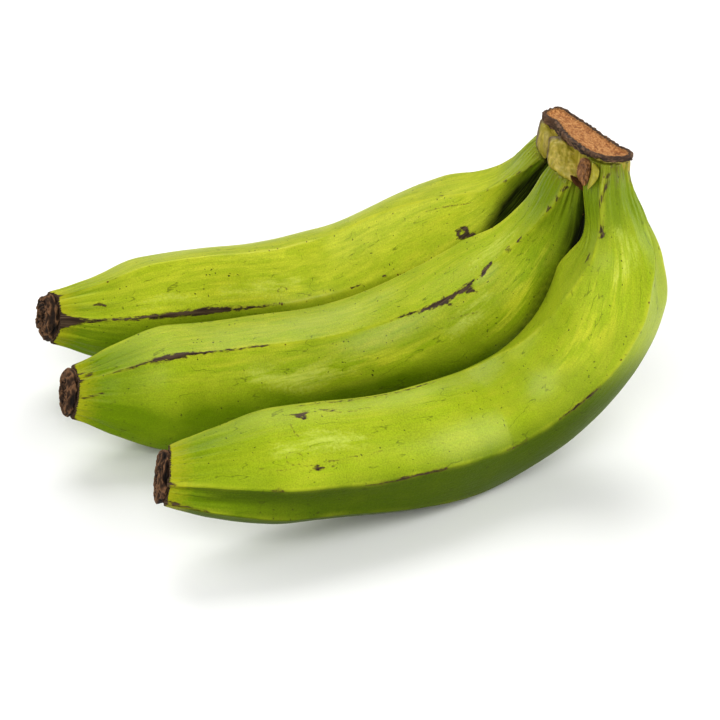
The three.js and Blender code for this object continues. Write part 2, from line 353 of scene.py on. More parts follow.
for direction, wave in (("side", "COSINE"), ("across", "SINE")):
    turn = add(sweep, "ShaderNodeMath", {0: angle}, operation=wave)
    step = add(sweep, "ShaderNodeMath", {0: turn, 1: reach}, operation="MULTIPLY")
    moved = add(sweep, "ShaderNodeVectorMath", {0: at_ring[direction], "Scale": step}, operation="SCALE")
    point = add(sweep, "ShaderNodeVectorMath", {0: point, 1: moved}, operation="ADD")
placed = add(sweep, "GeometryNodeSetPosition", {"Geometry": grid.outputs["Mesh"], "Position": point})
print("finger sweep:", len(sweep.nodes), "nodes so far")

# %% The sweep: the skin laid straight
# The same finger as a straight cylinder, a place for every pattern that follows the skin.
STRAIGHT_RADIUS = 20 * MM
rounds = {}
for axis, wave in (("X", "COSINE"), ("Y", "SINE")):
    turn = add(sweep, "ShaderNodeMath", {0: angle}, operation=wave)
    rounds[axis] = add(sweep, "ShaderNodeMath", {0: turn, 1: STRAIGHT_RADIUS}, operation="MULTIPLY")
straight = add(sweep, "ShaderNodeCombineXYZ", {**rounds, "Z": at_ring["along"]})
# How far each point is from the nearest ridge, round the skin, in millimetres.
middle_gap = add(sweep, "ShaderNodeMath", {0: part, 1: 0.5}, operation="SUBTRACT")
middle_way = add(sweep, "ShaderNodeMath", {0: middle_gap}, operation="ABSOLUTE")
ridge_way = add(sweep, "ShaderNodeMath", {0: 0.5, 1: middle_way}, operation="SUBTRACT")
facet_width = add(sweep, "ShaderNodeMath", {0: ends[1], 1: ends[0]}, operation="SUBTRACT")
ridge_turn = add(sweep, "ShaderNodeMath", {0: ridge_way, 1: facet_width}, operation="MULTIPLY")
crest_metres = add(sweep, "ShaderNodeMath", {0: ridge_turn, 1: at_ring["radius"]}, operation="MULTIPLY")
crest = add(sweep, "ShaderNodeMath", {0: crest_metres, 1: 1 / MM}, operation="MULTIPLY")
stored = placed
for name, kind, value in (
    ("straight", "FLOAT_VECTOR", straight), ("angle", "FLOAT", angle),
    ("ring_radius", "FLOAT", at_ring["radius"]), ("crest", "FLOAT", crest),
):
    stored = add(
        sweep, "GeometryNodeStoreNamedAttribute",
        {"Geometry": stored, "Name": name, "Value": value}, data_type=kind, domain="POINT",
    )
closed = add(sweep, "GeometryNodeMergeByDistance", {"Geometry": stored, "Distance": 0.002 * MM})
print("finger sweep:", len(sweep.nodes), "nodes so far")

# %% The sweep: dents and ribs
# Slow dents make each finger look grown, not turned.
dents = add(sweep, "ShaderNodeTexNoise", {"Scale": given["Dent Size"], "Detail": 2.0}, noise_dimensions="3D")
centred = add(sweep, "ShaderNodeMath", {0: dents, 1: -0.5}, operation="ADD")
push = add(sweep, "ShaderNodeMath", {0: centred, 1: given["Dent Depth"]}, operation="MULTIPLY")
# Both ends are ribbed lengthwise; the ribs fade out where the finger swells.
laid_out = add(sweep, "GeometryNodeInputNamedAttribute", {"Name": "straight"}, data_type="FLOAT_VECTOR")
drawn = add(sweep, "ShaderNodeVectorMath", {0: laid_out, 1: RIB_DRAW}, operation="MULTIPLY")
ribs = add(sweep, "ShaderNodeTexNoise", {"Vector": drawn, "Scale": given["Rib Size"], "Detail": 2.0})
rib_wave = add(sweep, "ShaderNodeMath", {0: ribs, 1: -0.5}, operation="ADD")
from_neck = add(sweep, "ShaderNodeSeparateXYZ", {0: laid_out}).outputs["Z"]
from_end = add(sweep, "ShaderNodeMath", {0: given["Finger Length"], 1: from_neck}, operation="SUBTRACT")
from_end = add(sweep, "ShaderNodeMath", {0: from_end, 1: RIB_TIP_FADE}, operation="MULTIPLY")
from_either = add(sweep, "ShaderNodeMath", {0: from_neck, 1: from_end}, operation="MINIMUM")
rib_fade = add(sweep, "ShaderNodeMapRange", {"Value": from_either, 1: 0.0, 2: given["Rib Length"],
                                             3: given["Rib Depth"], 4: 0.0}, interpolation_type="SMOOTHSTEP")
push = add(sweep, "ShaderNodeMath", {0: rib_wave, 1: rib_fade, 2: push}, operation="MULTIPLY_ADD")
outward = add(sweep, "GeometryNodeInputNormal")
offset = add(sweep, "ShaderNodeVectorMath", {0: outward, "Scale": push}, operation="SCALE")
dented = add(sweep, "GeometryNodeSetPosition", {"Geometry": closed, "Offset": offset})
print("finger sweep:", len(sweep.nodes), "nodes so far")

# %% The sweep: resting on the table
# Where a belly meets the table it is pressed flat, and the necks end under the cut crown.
where = add(sweep, "GeometryNodeInputPosition")
apart = add(sweep, "ShaderNodeSeparateXYZ", {0: where})
height = add(sweep, "ShaderNodeMath", {0: apart.outputs["Z"], 1: 0.0}, operation="MAXIMUM")
height = add(sweep, "ShaderNodeMath", {0: height, 1: given["Cut Height"]}, operation="MINIMUM")
rested = add(sweep, "ShaderNodeCombineXYZ", {"X": apart.outputs["X"], "Y": apart.outputs["Y"], "Z": height})
resting = add(sweep, "GeometryNodeSetPosition", {"Geometry": dented, "Position": rested})
smooth = add(sweep, "GeometryNodeSetShadeSmooth", {"Geometry": resting})
real = add(sweep, "GeometryNodeRealizeInstances", {"Geometry": smooth})
coated = add(sweep, "GeometryNodeSetMaterial", {"Geometry": real, "Material": given["Skin"]})
add(sweep, "NodeGroupOutput", {"Finger": coated})
print("finger sweep:", len(sweep.nodes), "nodes")

# %% [markdown]
# ## Making the three fingers
# The rings are handed to the tree as a bare line of points. The tree's result is turned into a
# plain mesh, because only a plain mesh can be painted with marks and exported.

# %% Helpers for meshes and their attributes
def attribute(mesh, name, values, kind="FLOAT"):
    """Writes a value, or a vector, for each point of a mesh."""
    made = mesh.attributes.new(name, kind, "POINT")
    key = "vector" if kind == "FLOAT_VECTOR" else "value"
    made.data.foreach_set(key, np.asarray(values, np.float32).ravel())


def read(mesh, name, kind="FLOAT"):
    """Reads such values back."""
    size, key = (3, "vector") if kind == "FLOAT_VECTOR" else (1, "value")
    values = np.zeros(len(mesh.vertices) * size, np.float32)
    mesh.attributes[name].data.foreach_get(key, values)
    return values.reshape(-1, size) if size > 1 else values


def set_inputs(modifier, values):
    """Sets a node tree's inputs by their names, through the identifiers that a modifier wants."""
    named = {item.name: item.identifier for item in modifier.node_group.interface.items_tree
             if item.item_type == "SOCKET" and item.in_out == "INPUT"}
    for label, value in values.items():
        modifier[named[label]] = value


def grow(name, mesh, tree, values):
    """Runs a node tree on a mesh and keeps the result as a plain object."""
    seed = bpy.data.objects.new(name + "_seed", mesh)
    bpy.context.collection.objects.link(seed)
    modifier = seed.modifiers.new("grow", "NODES")
    modifier.node_group = tree
    set_inputs(modifier, values)
    grown = seed.evaluated_get(bpy.context.evaluated_depsgraph_get())
    piece = bpy.data.objects.new(name, bpy.data.meshes.new_from_object(grown))
    bpy.data.objects.remove(seed)
    bpy.context.collection.objects.link(piece)
    return piece


def ease(low, high, value):
    """0 up to the low value, 1 from the high value on, and a soft step between."""
    t = np.clip((value - low) / (high - low), 0, 1)
    return t * t * (3 - 2 * t)


def points_of(mesh):
    flat = np.zeros(len(mesh.vertices) * 3, np.float32)
    mesh.vertices.foreach_get("co", flat)
    return flat.reshape(-1, 3).astype(float)


print("eased a quarter of the way:", ease(0, 1, 0.25))

# %% Rings in, fingers out
# How far the ridges stand out, as a share of the radius, at a few places along a finger.
CREST_STATIONS = [0, 0.05, 0.12, 0.22, 0.4, 0.7, 0.86, 1]
CREST_RISES = [0.12, 0.2, 0.2, 0.11, 0.075, 0.085, 0.14, 0.14]
DENT_DEPTH = 0.9 * MM
DENT_SIZE = 34 * MM
TIP_TURN_FROM = 0.88


def turned_frames(finger, stations):
    """The walk along a finger, with its last centimetres turned about the upright."""
    centres, *frames = walk(finger["spine"], stations)
    angle = math.radians(finger["tip_turn"]) * ease(TIP_TURN_FROM, 1, stations / finger["length"])
    turned = []
    for v in frames:
        x = v[:, 0] * np.cos(angle) - v[:, 1] * np.sin(angle)
        y = v[:, 0] * np.sin(angle) + v[:, 1] * np.cos(angle)
        turned.append(np.column_stack([x, y, v[:, 2]]))
    return centres, *turned


def ring_mesh(name, finger):
    """A bare line of points, one for each ring; the first and the last ring close the ends."""
    length = finger["length"]
    stations = np.linspace(finger["starts"], length - FLOWER_END_DEPTH - SEAM, FINGER_RINGS)
    stations = np.concatenate([stations[:1], stations, stations[-1:]])
    share = np.clip(stations / length, 0, 1)
    centres, _, sides, acrosses = turned_frames(finger, stations)
    radii = monotone(RADIUS_STATIONS, finger["radii"], share)
    radii[[0, -1]] = 0
    mesh = bpy.data.meshes.new(name + "_rings")
    mesh.vertices.add(len(stations))
    attribute(mesh, "centre", centres * MM, "FLOAT_VECTOR")
    attribute(mesh, "side", sides, "FLOAT_VECTOR")
    attribute(mesh, "across", acrosses, "FLOAT_VECTOR")
    attribute(mesh, "radius", radii * MM)
    attribute(mesh, "along", stations * MM)
    attribute(mesh, "crest_rise", monotone(CREST_STATIONS, CREST_RISES, share))
    attribute(mesh, "bulge", monotone(*zip(*finger["bulge"]), share) * MM)
    for k, ridge in enumerate(finger["ridges"]):
        attribute(mesh, f"ridge_{k}", np.radians(monotone(*zip(*ridge), share)))
    return mesh


skin = bpy.data.materials.new("green_plantain_peel")
fingers = {}
for name, finger in FINGERS.items():
    fingers[name] = grow(f"plantain_{name}", ring_mesh(name, finger), sweep, {
        "Ring Count": FINGER_RINGS + 2, "Columns a Facet": FACET_COLUMNS,
        "Dent Depth": DENT_DEPTH, "Dent Size": 1 / DENT_SIZE, "Bulge Angle": math.radians(BULGE_ANGLE),
        "Rib Depth": RIB_DEPTH, "Rib Size": 1 / RIB_SIZE, "Rib Length": RIB_LENGTH, "Cut Height": NECK_TOP,
        "Finger Length": finger["length"] * MM, "Skin": skin,
    })
    print(f"{name} finger: {len(fingers[name].data.polygons)} faces")

# %% [markdown]
# ## Where the skin is marked
# Green plantains are never clean. Rubbed ridges turn brown-black, sap leaves stains, and the fruit is scuffed
# where fingers touched, though some pale scuffs are painted highlights. Other marks are painted light and
# painted shade: paler patches on the bulges and near-black skin deep between the necks. Each mark is told
# where it lies on the skin: on which ridge, how far along it, how far off it and how wide, all in
# millimetres. The mesh then carries, at every point, how deep that point lies inside a mark. A material reads
# that depth and gives the mark a ragged edge, so the marks stay sharp however coarse the mesh is.

# %% Marks on the peel
# Each mark: its ridge, then points of (mm along the finger, mm off the ridge, half width in mm).
SCARS = {
    "front": [
        (3, [(81, 0, 0.3), (86, 0, 0.75), (97, 0, 0.55), (104, 0, 0.2)]),
        (3, [(121, 0, 0.1), (128, 0.2, 0.3), (136, 0, 0.1)]),
        (3, [(166, 0, 0.3), (172, 0, 0.6), (184, 0, 0.5), (196, 0, 0.15)]),
        (3, [(228, 0, 0.2), (230, 0.3, 0.85), (232, 0, 0.2)]),
        (3, [(212.5, 7.2, 0.5), (214.3, 7.4, 1.0), (216, 7.6, 0.4)]),
        (3, [(217.5, 6.6, 0.45)]),
        (3, [(209, 7.6, 0.25), (207.5, 7.7, 0.3)]),
        (4, [(218, -6.2, 0.1), (214.8, -7.6, 1.1), (213, -7.0, 0.9), (209, -5.2, 0.25)]),
        (4, [(213.5, -9.4, 0.8), (211.8, -6.0, 0.3)]),
        (4, [(206, -5.6, 0.35), (203, -6.6, 0.5), (199.5, -8.2, 0.25)]),
        (4, [(204, -7.0, 0.4), (200.5, -6.2, 0.2)]),
        (4, [(196, -8.8, 0.3), (191, -8.0, 0.18), (187, -7.6, 0.1)]),
        (4, [(22.6, -1.0, 0.85), (20.8, -1.6, 0.5)]),
        (4, [(213, -1.6, 0.15), (203, -1.6, 0.4), (193, -1.4, 0.5), (181, -1.2, 0.3), (160, -1, 0.3),
             (150, -1, 0.1)]),
        (4, [(0.6, -1.2, 0.45), (2.2, -1.0, 0.3)]),
        (4, [(3.6, -1.4, 0.35), (5.5, -1.0, 0.55), (6.8, -0.6, 0.3)]),
        (4, [(8, -0.2, 0.4), (9.6, 0.1, 0.5), (11, 0.2, 0.3)]),
        (4, [(16.4, -0.3, 0.3), (18.6, -0.4, 0.5), (20.2, -0.4, 0.7), (21, -0.9, 0.5)]),
        (4, [(30.2, 2.4, 0.5), (32.0, 2.3, 0.6), (34.6, 2.3, 0.4)]),
        (3, [(33.6, -0.3, 0.4), (34.8, -0.2, 0.35)]),
        (3, [(42, -5.5, 0.45)]),
        (4, [(-4.2, -4.4, 0.3), (-2.2, -4.3, 0.14)]),
        (4, [(-4.2, -1.6, 0.2), (-1.4, -1.9, 0.12)]),
        (3, [(-4.2, 2.1, 0.35), (-2.6, 2.0, 0.1)]),
        (3, [(-3.4, -0.6, 0.3), (-0.8, -0.5, 0.2), (2.0, -0.4, 0.08)]),
        (3, [(4.0, 0.0, 0.22), (6.0, 0.1, 0.1)]),
        (2, [(263, 0.6, 0.5), (258, 0.3, 0.3), (250, 0, 0.15)]),
    ],
    "middle": [
        (4, [(243, 0, 0.1), (235, 0, 0.35), (228, 0.1, 0.75), (221, 0, 1.35), (214, 0, 1.3),
             (207, 0, 0.75), (196, 0, 0.5), (184, 0, 0.4), (176, 0, 0.35), (171, 0, 0.05)]),
        (4, [(116, 0.2, 0.2), (105, 0, 0.4), (98, -0.1, 0.75), (91, -0.3, 1.1), (86, -0.2, 1.45),
             (80, 0, 0.8), (75, -0.1, 1.25), (71.5, 0.2, 0.9), (69, 0.6, 0.3)]),
        (4, [(75, -1.2, 1.0), (72.5, -2.0, 0.9), (71.5, -3.4, 0.3)]),
        (4, [(86, -1.6, 0.8), (84.5, -2.6, 0.4)]),
        (4, [(66, -0.2, 0.3), (63, 0, 0.95), (60, 0.3, 0.85), (57, 0.5, 0.3)]),
        (4, [(47.5, 0, 0.75), (45.5, 0.1, 0.5)]),
        (4, [(39.5, 0, 0.6), (37.5, 0.3, 0.4)]),
        (4, [(16, 0, 0.4), (14.2, 0.4, 0.7), (13.4, 0.2, 0.3)]),
        (4, [(8.5, 0, 0.5), (7.4, 0.5, 0.62)]),
        (4, [(2.2, -0.6, 0.6), (3.6, 0.2, 0.4)]),
        (4, [(249.5, 1.8, 0.6), (247.5, 2.2, 0.45)]),
        (4, [(251.5, -6.6, 0.3), (247, -6.8, 0.5), (243.5, -6.4, 0.2)]),
        (4, [(254, 3.2, 0.3), (250, 3.8, 0.4)]),
    ],
    "back": [
        (3, [(268, 0, 3.4), (264, 0, 1.7), (259, 0, 0.75), (251, 0, 0.45), (241, 0, 0.6),
             (231, 0, 0.85), (221, 0, 1.2), (211, 0, 1.5), (200, 0.1, 1.15), (190, 0.1, 0.6),
             (180, 0, 0.3), (173, 0, 0.05)]),
        (3, [(63.0, 4.6, 1.0), (61.4, 3.6, 0.9), (58.8, 4.1, 1.1), (58.2, 6.0, 0.9),
             (60.6, 7.2, 0.7), (62.8, 6.4, 0.9), (63.0, 4.6, 1.0)]),
        (3, [(60.0, 3.4, 0.9), (58.4, 2.6, 1.1), (56.8, 2.2, 0.8)]),
        (3, [(107.5, 0.4, 0.45), (105.5, 0.6, 0.3)]),
        (3, [(128, 0, 0.15), (124, 0.1, 0.35), (121, 0, 0.1)]),
        (4, [(66, 0, 0.3), (64.5, 0.2, 0.3)]),
        (4, [(39, 0, 0.35), (37.6, 0.2, 0.25)]),
        (4, [(27, 0.3, 0.45), (24.6, 0, 0.25)]),
        (4, [(17, 0, 0.3), (15, 0.4, 0.35), (13.5, 0, 0.1)]),
        (4, [(7.6, 0, 0.3), (6, 0, 0.2)]),
        (3, [(255, 6.2, 0.35), (252, 6.9, 0.5), (250.5, 5.2, 0.4)]),
    ],
}
for name, scars in SCARS.items():
    print(f"{name} finger: {len(scars)} scars")

# %% Sap, scuffs, painted light and painted shade
# Thin, faint lines of dried sap, in the same terms.
SAP_LINES = {
    "front": [
        (3, [(240, 7.6, 0.08), (228, 7.2, 0.14), (217, 8.4, 0.22), (207, 9.6, 0.3),
             (198, 10.6, 0.22), (186, 11.6, 0.1)]),
        (3, [(225.6, 10.4, 0.2), (224.8, 13.2, 0.2), (222, 14.2, 0.15), (219.6, 12.8, 0.22),
             (219.8, 10.0, 0.22), (222.4, 8.6, 0.18), (225.6, 10.4, 0.2)]),
        (4, [(219, -11, 0.3), (219.5, -15, 0.25), (218, -18, 0.3)]),
    ],
    "middle": [(4, [(90, -7, 0.15), (78, -10, 0.25), (66, -9, 0.15)])],
    "back": [
        (4, [(75, -5, 0.15), (62, -4.4, 0.3), (50, -4, 0.2)]),
        (3, [(176, 5.2, 0.25), (173.5, 7.2, 0.3), (170.6, 5.6, 0.25), (173.6, 4.4, 0.25),
             (176, 5.2, 0.25)]),
    ],
}
# Scuffed places, where the wax is rubbed pale, some of them pale patches of painted highlight.
SCUFFS_AND_HIGHLIGHTS = {
    "front": [(3, [(22, 12, 2.5), (30, 10, 4), (38, 14, 3)]),
              (3, [(226, 14, 3.5), (212, 18, 5), (196, 16, 3)])],
    "middle": [(4, [(92, -12, 3), (80, -10, 4.5), (70, -7, 3)]), (4, [(66, 6, 2), (52, 5, 3.5), (40, 5, 2)]),
               (4, [(180, -11, 4), (160, -14, 6), (140, -12, 3)])],
    "back": [(3, [(200, 7, 2), (175, 8, 4), (160, 9, 2)]), (3, [(236, 5, 1), (224, 7, 3), (212, 5, 1)])],
}
# Painted light: the swellings under the necks and the middle finger's open side are painted paler.
PAINTED_LIGHT_SPOTS = {
    "front": [(3, [(24, 13, 6), (42, 15, 12), (70, 16, 9), (92, 16, 4)])],
    "middle": [
        (3, [(30, 8, 5), (46, 10, 8), (66, 11, 6), (84, 11, 3)]),
        (4, [(96, -13, 4), (120, -15, 8), (142, -16, 9), (165, -15, 8), (185, -12, 3)]),
    ],
    "back": [],
}
# Painted shade: skin deep in the bunch, between the necks, is painted near black.
PAINTED_SHADE_HOLLOWS = {
    "front": [],
    "middle": [(3, [(0, -4, 6.4), (10, -4.4, 7.4), (20, -4.6, 7.6), (33, -5, 7), (46, -5, 4.5)])],
    "back": [(3, [(-4, 0, 6.5), (12, 0, 8), (24, -0.6, 9), (36, -1.6, 9), (46, -3, 7), (57, -5, 4)])],
}
OUTSIDE = -10.0
for name in FINGERS:
    print(f"{name} finger: {len(SAP_LINES[name])} sap lines, {len(SCUFFS_AND_HIGHLIGHTS[name])} scuffs")

# %% How deep a point lies in a mark
def mark_depth(u, v, path):
    """How deep each skin point lies inside a mark, in mm: half width less the way to its line."""
    path = path if len(path) > 1 else path * 2
    depth = np.full(len(u), OUTSIDE)
    for (u0, v0, w0), (u1, v1, w1) in zip(path, path[1:]):
        run, climb = u1 - u0, v1 - v0
        t = np.clip(((u - u0) * run + (v - v0) * climb) / max(run**2 + climb**2, 1e-9), 0, 1)
        gap = np.hypot(u - u0 - t * run, v - v0 - t * climb)
        depth = np.maximum(depth, w0 + t * (w1 - w0) - gap)
    return depth


def paint(mesh, finger, marks, label, least=OUTSIDE):
    """Writes how deep each point lies in any of the marks, and gives the share of marked points."""
    u = read(mesh, "straight", "FLOAT_VECTOR")[:, 2] / MM
    angle, radius = read(mesh, "angle"), read(mesh, "ring_radius") / MM
    depth = np.maximum(least, np.full(len(u), OUTSIDE))
    for ridge, path in marks:
        crest = np.radians(monotone(*zip(*finger["ridges"][ridge]), u / finger["length"]))
        v = radius * ((angle - crest + math.pi) % math.tau - math.pi)
        depth = np.maximum(depth, mark_depth(u, v, path))
    attribute(mesh, label, depth)
    return (depth > 0).mean()


for name, finger in FINGERS.items():
    mesh = fingers[name].data
    shares = [paint(mesh, finger, marks[name], label) for marks, label in (
        (SAP_LINES, "sap"), (SCUFFS_AND_HIGHLIGHTS, "scuff_and_highlight"), (PAINTED_LIGHT_SPOTS, "painted_light_spot"), (PAINTED_SHADE_HOLLOWS, "hollow"),
    )]
    print(f"{name} finger: sap {shares[0]:.1%}, scuffed {shares[1]:.1%}, sunlit {shares[2]:.1%}")

# %% [markdown]
# ## Painted light and shade on the peel
# The peel's colour carries painted light and painted shade. Skin that sits high and faces up gets the paler,
# yellower green as painted light; the undersides, the necks and the tips get painted shade, and so does skin
# that faces a neighbour across a narrow cleft. So each point is given its own share of painted light: by its
# height and the way it faces, and by how close the next finger is.

# %% Narrow clefts
# The gap in mm where the painted shade of a cleft is darkest, where it counts as open, and how much wider at
# the necks.
CLEFT_DARK, CLEFT_OPEN, NECK_CLEFT = 1, 5, 16
NEIGHBOUR_STEP = 6
trees = {}
for name, piece in fingers.items():
    spots = (points_of(piece.data)[::NEIGHBOUR_STEP] / MM).tolist()
    trees[name] = KDTree(len(spots))
    for index, spot in enumerate(spots):
        trees[name].insert(spot, index)
    trees[name].balance()


def cleft(name, spots, normals, open_at):
    """How far each point looks into a narrow cleft, its share of painted shade: 0 open, 1 pressed against a
    neighbour.
    """
    closed_in = np.zeros(len(spots))
    listed = spots.tolist()
    for other, tree in trees.items():
        if other != name:
            found = [tree.find(spot) for spot in listed]
            gaps = np.array([gap for _, _, gap in found])
            toward = np.array([tuple(neighbour) for neighbour, _, _ in found]) - spots
            facing = (toward * normals).sum(1) / np.maximum(gaps, 0.01)
            near = 1 - ease(0, 1, (gaps - CLEFT_DARK) / (open_at - CLEFT_DARK))
            closed_in = np.maximum(closed_in, near * np.clip(facing, 0, 1))
    return closed_in


print("points to look for neighbours among:", {name: len(piece.data.vertices) // NEIGHBOUR_STEP
                                             for name, piece in fingers.items()})

# %% Painted light and shade, and the dark collar
# Painted light counts from one height to another, in mm, and facing up counts as this much height.
DEEP_BELOW, SUNNY_ABOVE, FACING_COUNTS = 14, 54, 35
# Each finger: how pale its painted light is, how dark its painted shade underneath, how mottled, how much
# painted shade its neck has and for how many mm, how much painted shade its tip has, and how far up a ridge
# its dark collar runs, in mm.
SHADES = {
    "front": {"paleness": 0.5, "underside": 0.95, "aged": 0.8, "neck": 1.0, "neck end": 32, "tip": 0.7,
              "collar": 1.6},
    "middle": {"paleness": 0.66, "underside": 0.0, "aged": 1.0, "neck": 0.9, "neck end": 44, "tip": 1.0,
               "collar": 2.0},
    "back": {"paleness": 0.95, "underside": 0.0, "aged": 0.55, "neck": 0.45, "neck end": 38, "tip": 0.4,
             "collar": 2.2},
}
NECK_SHADE_START, TIP_SHADE_END = 8, 42
NECK_CLEFT_SPAN = (30, 70)
PAINTED_LIGHT_SHARE, PAINTED_LIGHT_EDGE = 0.42, 7
# The collar: its width, how sharply it ends, the half width of its points and how they taper.
COLLAR_WIDTH, COLLAR_EDGE, SPIKE_WIDTH, SPIKE_TAPER = 0.5, 1.8, 1.6, 0.5
for name, finger in FINGERS.items():
    mesh, shade = fingers[name].data, SHADES[name]
    spots = points_of(mesh) / MM
    normals = np.zeros(len(mesh.vertices) * 3, np.float32)
    mesh.vertices.foreach_get("normal", normals)
    normals = normals.reshape(-1, 3)
    along = read(mesh, "straight", "FLOAT_VECTOR")[:, 2] / MM
    from_tip = finger["length"] - FLOWER_END_DEPTH - SEAM - along
    # Dark skin rims the flower end and runs a little way up every ridge.
    spikes = SPIKE_TAPER * (shade["collar"] * (1 - read(mesh, "crest") / SPIKE_WIDTH) - from_tip)
    collar = np.maximum(spikes, COLLAR_EDGE * (COLLAR_WIDTH - from_tip))
    scarred = paint(mesh, finger, SCARS[name], "scar", collar)
    # Painted light and shade: skin that sits high and faces up gets the pale share, and the neck and the tip
    # get painted shade.
    sky = ease(DEEP_BELOW, SUNNY_ABOVE, spots[:, 2] + FACING_COUNTS * normals[:, 2])
    shaded_neck = shade["neck"] * (1 - ease(NECK_SHADE_START, shade["neck end"], along))
    shaded_tip = shade["tip"] * (1 - ease(0, TIP_SHADE_END, from_tip))
    open_at = CLEFT_OPEN + NECK_CLEFT * (1 - ease(*NECK_CLEFT_SPAN, along))
    # Painted light: the painted light spots add to the pale share.
    spot = PAINTED_LIGHT_SHARE * ease(0, PAINTED_LIGHT_EDGE, read(mesh, "painted_light_spot"))
    attribute(mesh, "sunny", sky * shade["paleness"] * (1 - shaded_neck) * (1 - shaded_tip) + spot)
    # Painted shade in the narrow clefts and on the undersides.
    attribute(mesh, "cleft", np.maximum(cleft(name, spots, normals, open_at), shade["underside"] * (1 - sky)))
    attribute(mesh, "skyward", sky)
    attribute(mesh, "aged", np.full(len(spots), shade["aged"]))
    attribute(mesh, "from_neck", along)
    attribute(mesh, "from_tip", from_tip)
    print(f"{name} finger: scarred {scarred:.1%}, facing the sky {sky.mean():.0%}")

# %% [markdown]
# ## The peel
# Green plantain peel is a waxy leaf-like skin: a soft satin sheen over a yellow-green, with painted shade
# that makes it deepest on the lower sides and in the clefts, fine lengthwise veins, dark flecks of dried sap,
# yellowing ridges, and brown-black scars where the ridges were rubbed. One Principled shader gives the wax;
# the colour is built up in thin layers from the bottom, as on the real skin. Patterns read the finger laid
# straight, so veins run along the fruit and never slide or stretch in a bend.

# %% Peel colours and sizes
# Besides the peel's own colours, the sunny green serves as painted light, the cleft green, the neck green and
# the near-black hollow colour as painted shade, and the scuff colour partly as painted highlight.
PEEL = {
    "deep green": "#6C8300", "sunny green": "#B7BD36", "leaf green": "#8DA30E", "neck green": "#537C00",
    "cleft green": "#3C4C00", "hollow": "#0E1300", "yellow": "#B3B32C", "vein": "#7D9318",
    "ridge yellow": "#BBBC38", "rust": "#5F4318", "scar": "#3A2C22", "scar grey": "#625141",
    "sap": "#3F4412", "scuff_and_highlight": "#C3CD6E", "stalk": "#8C8A2C", "tip yellow": "#AFA824",
    "smudge": "#5C4A22",
}
# Widths of the patterns, from the pores of the skin to broad clouds of paler green. The pores
# of real peel are a tenth of a millimetre, too fine to show, so the grain is drawn coarser.
GRAIN, VEIN_WIDTH, FRAY, WOBBLE, MOTTLE = 0.5 * MM, 0.9 * MM, 0.9 * MM, 1.1 * MM, 2.6 * MM
BAND, CLOUD = 9 * MM, 14 * MM
PRICK_CELL, DOT_CELL, FLECK_CELL, FLECK_BEND = 1.7 * MM, 2.1 * MM, 3.0 * MM, 2.5 * MM

skin.use_nodes = True
tree = skin.node_tree
shader = tree.nodes["Principled BSDF"]
marks = {label: add(tree, "ShaderNodeAttribute", attribute_name=label).outputs["Fac"] for label in (
    "scar", "sap", "scuff_and_highlight", "sunny", "skyward", "cleft", "hollow", "aged", "crest", "from_neck", "from_tip",
)}
laid = add(tree, "ShaderNodeAttribute", attribute_name="straight").outputs["Vector"]
veined = add(tree, "ShaderNodeMapping", {"Vector": laid, "Scale": (1, 1, 0.05)})
veins = add(tree, "ShaderNodeTexNoise", {"Vector": veined, "Scale": 1 / VEIN_WIDTH, "Detail": 3.0})
clouds = add(tree, "ShaderNodeTexNoise", {"Vector": laid, "Scale": 1 / CLOUD, "Detail": 2.0})
drawn_out = add(tree, "ShaderNodeMapping", {"Vector": laid, "Scale": (1, 1, 0.3)})
bands = add(tree, "ShaderNodeTexNoise", {"Vector": drawn_out, "Scale": 1 / BAND, "Detail": 3.0})
wobble = add(tree, "ShaderNodeTexNoise", {"Vector": laid, "Scale": 1 / WOBBLE, "Detail": 3.0})
grain = add(tree, "ShaderNodeTexNoise", {"Vector": laid, "Scale": 1 / GRAIN, "Detail": 2.0})
print("peel:", len(tree.nodes), "nodes so far")

# %% Peel: base greens
# Each layer covers the ones before it: first the sunny green over the deep green, as painted light and shade,
# with yellower bands that show only where that painted light is strong.
cloudy = add(tree, "ShaderNodeMapRange", {"Value": clouds, 1: 0.3, 2: 0.7, 3: -0.1, 4: 0.1})
sunlit = add(tree, "ShaderNodeMath", {0: marks["sunny"], 1: cloudy}, operation="ADD", use_clamp=True)
yellowed = add(tree, "ShaderNodeMapRange", {"Value": bands, 1: 0.5, 2: 0.72, 3: 0.0, 4: 0.4})
yellow_sun = add(tree, "ShaderNodeMath", {0: yellowed, 1: sunlit}, operation="MULTIPLY")
# Between the paler streaks the skin shows a fuller green.
mottled = add(tree, "ShaderNodeMapping", {"Vector": laid, "Scale": (1, 1, 0.16)})
mottle = add(tree, "ShaderNodeTexNoise",
             {"Vector": mottled, "Scale": 1 / MOTTLE, "Detail": 5.0, "Roughness": 0.62})
mottle_cover = add(tree, "ShaderNodeMapRange", {"Value": mottle, 1: 0.42, 2: 0.6, 3: 0.0, 4: 0.85})
mottle_sun = add(tree, "ShaderNodeMath", {0: mottle_cover, 1: sunlit}, operation="MULTIPLY")
mottle_sun = add(tree, "ShaderNodeMath", {0: mottle_sun, 1: marks["aged"]}, operation="MULTIPLY")
vein_strength = add(tree, "ShaderNodeMapRange", {"Value": veins, 1: 0.48, 2: 0.7, 3: 0.0, 4: 0.5})
vein_sun = add(tree, "ShaderNodeMath", {0: vein_strength, 1: sunlit}, operation="MULTIPLY")
vein_sun = add(tree, "ShaderNodeMath", {0: vein_sun, 1: marks["aged"]}, operation="MULTIPLY")
print("peel:", len(tree.nodes), "nodes so far")

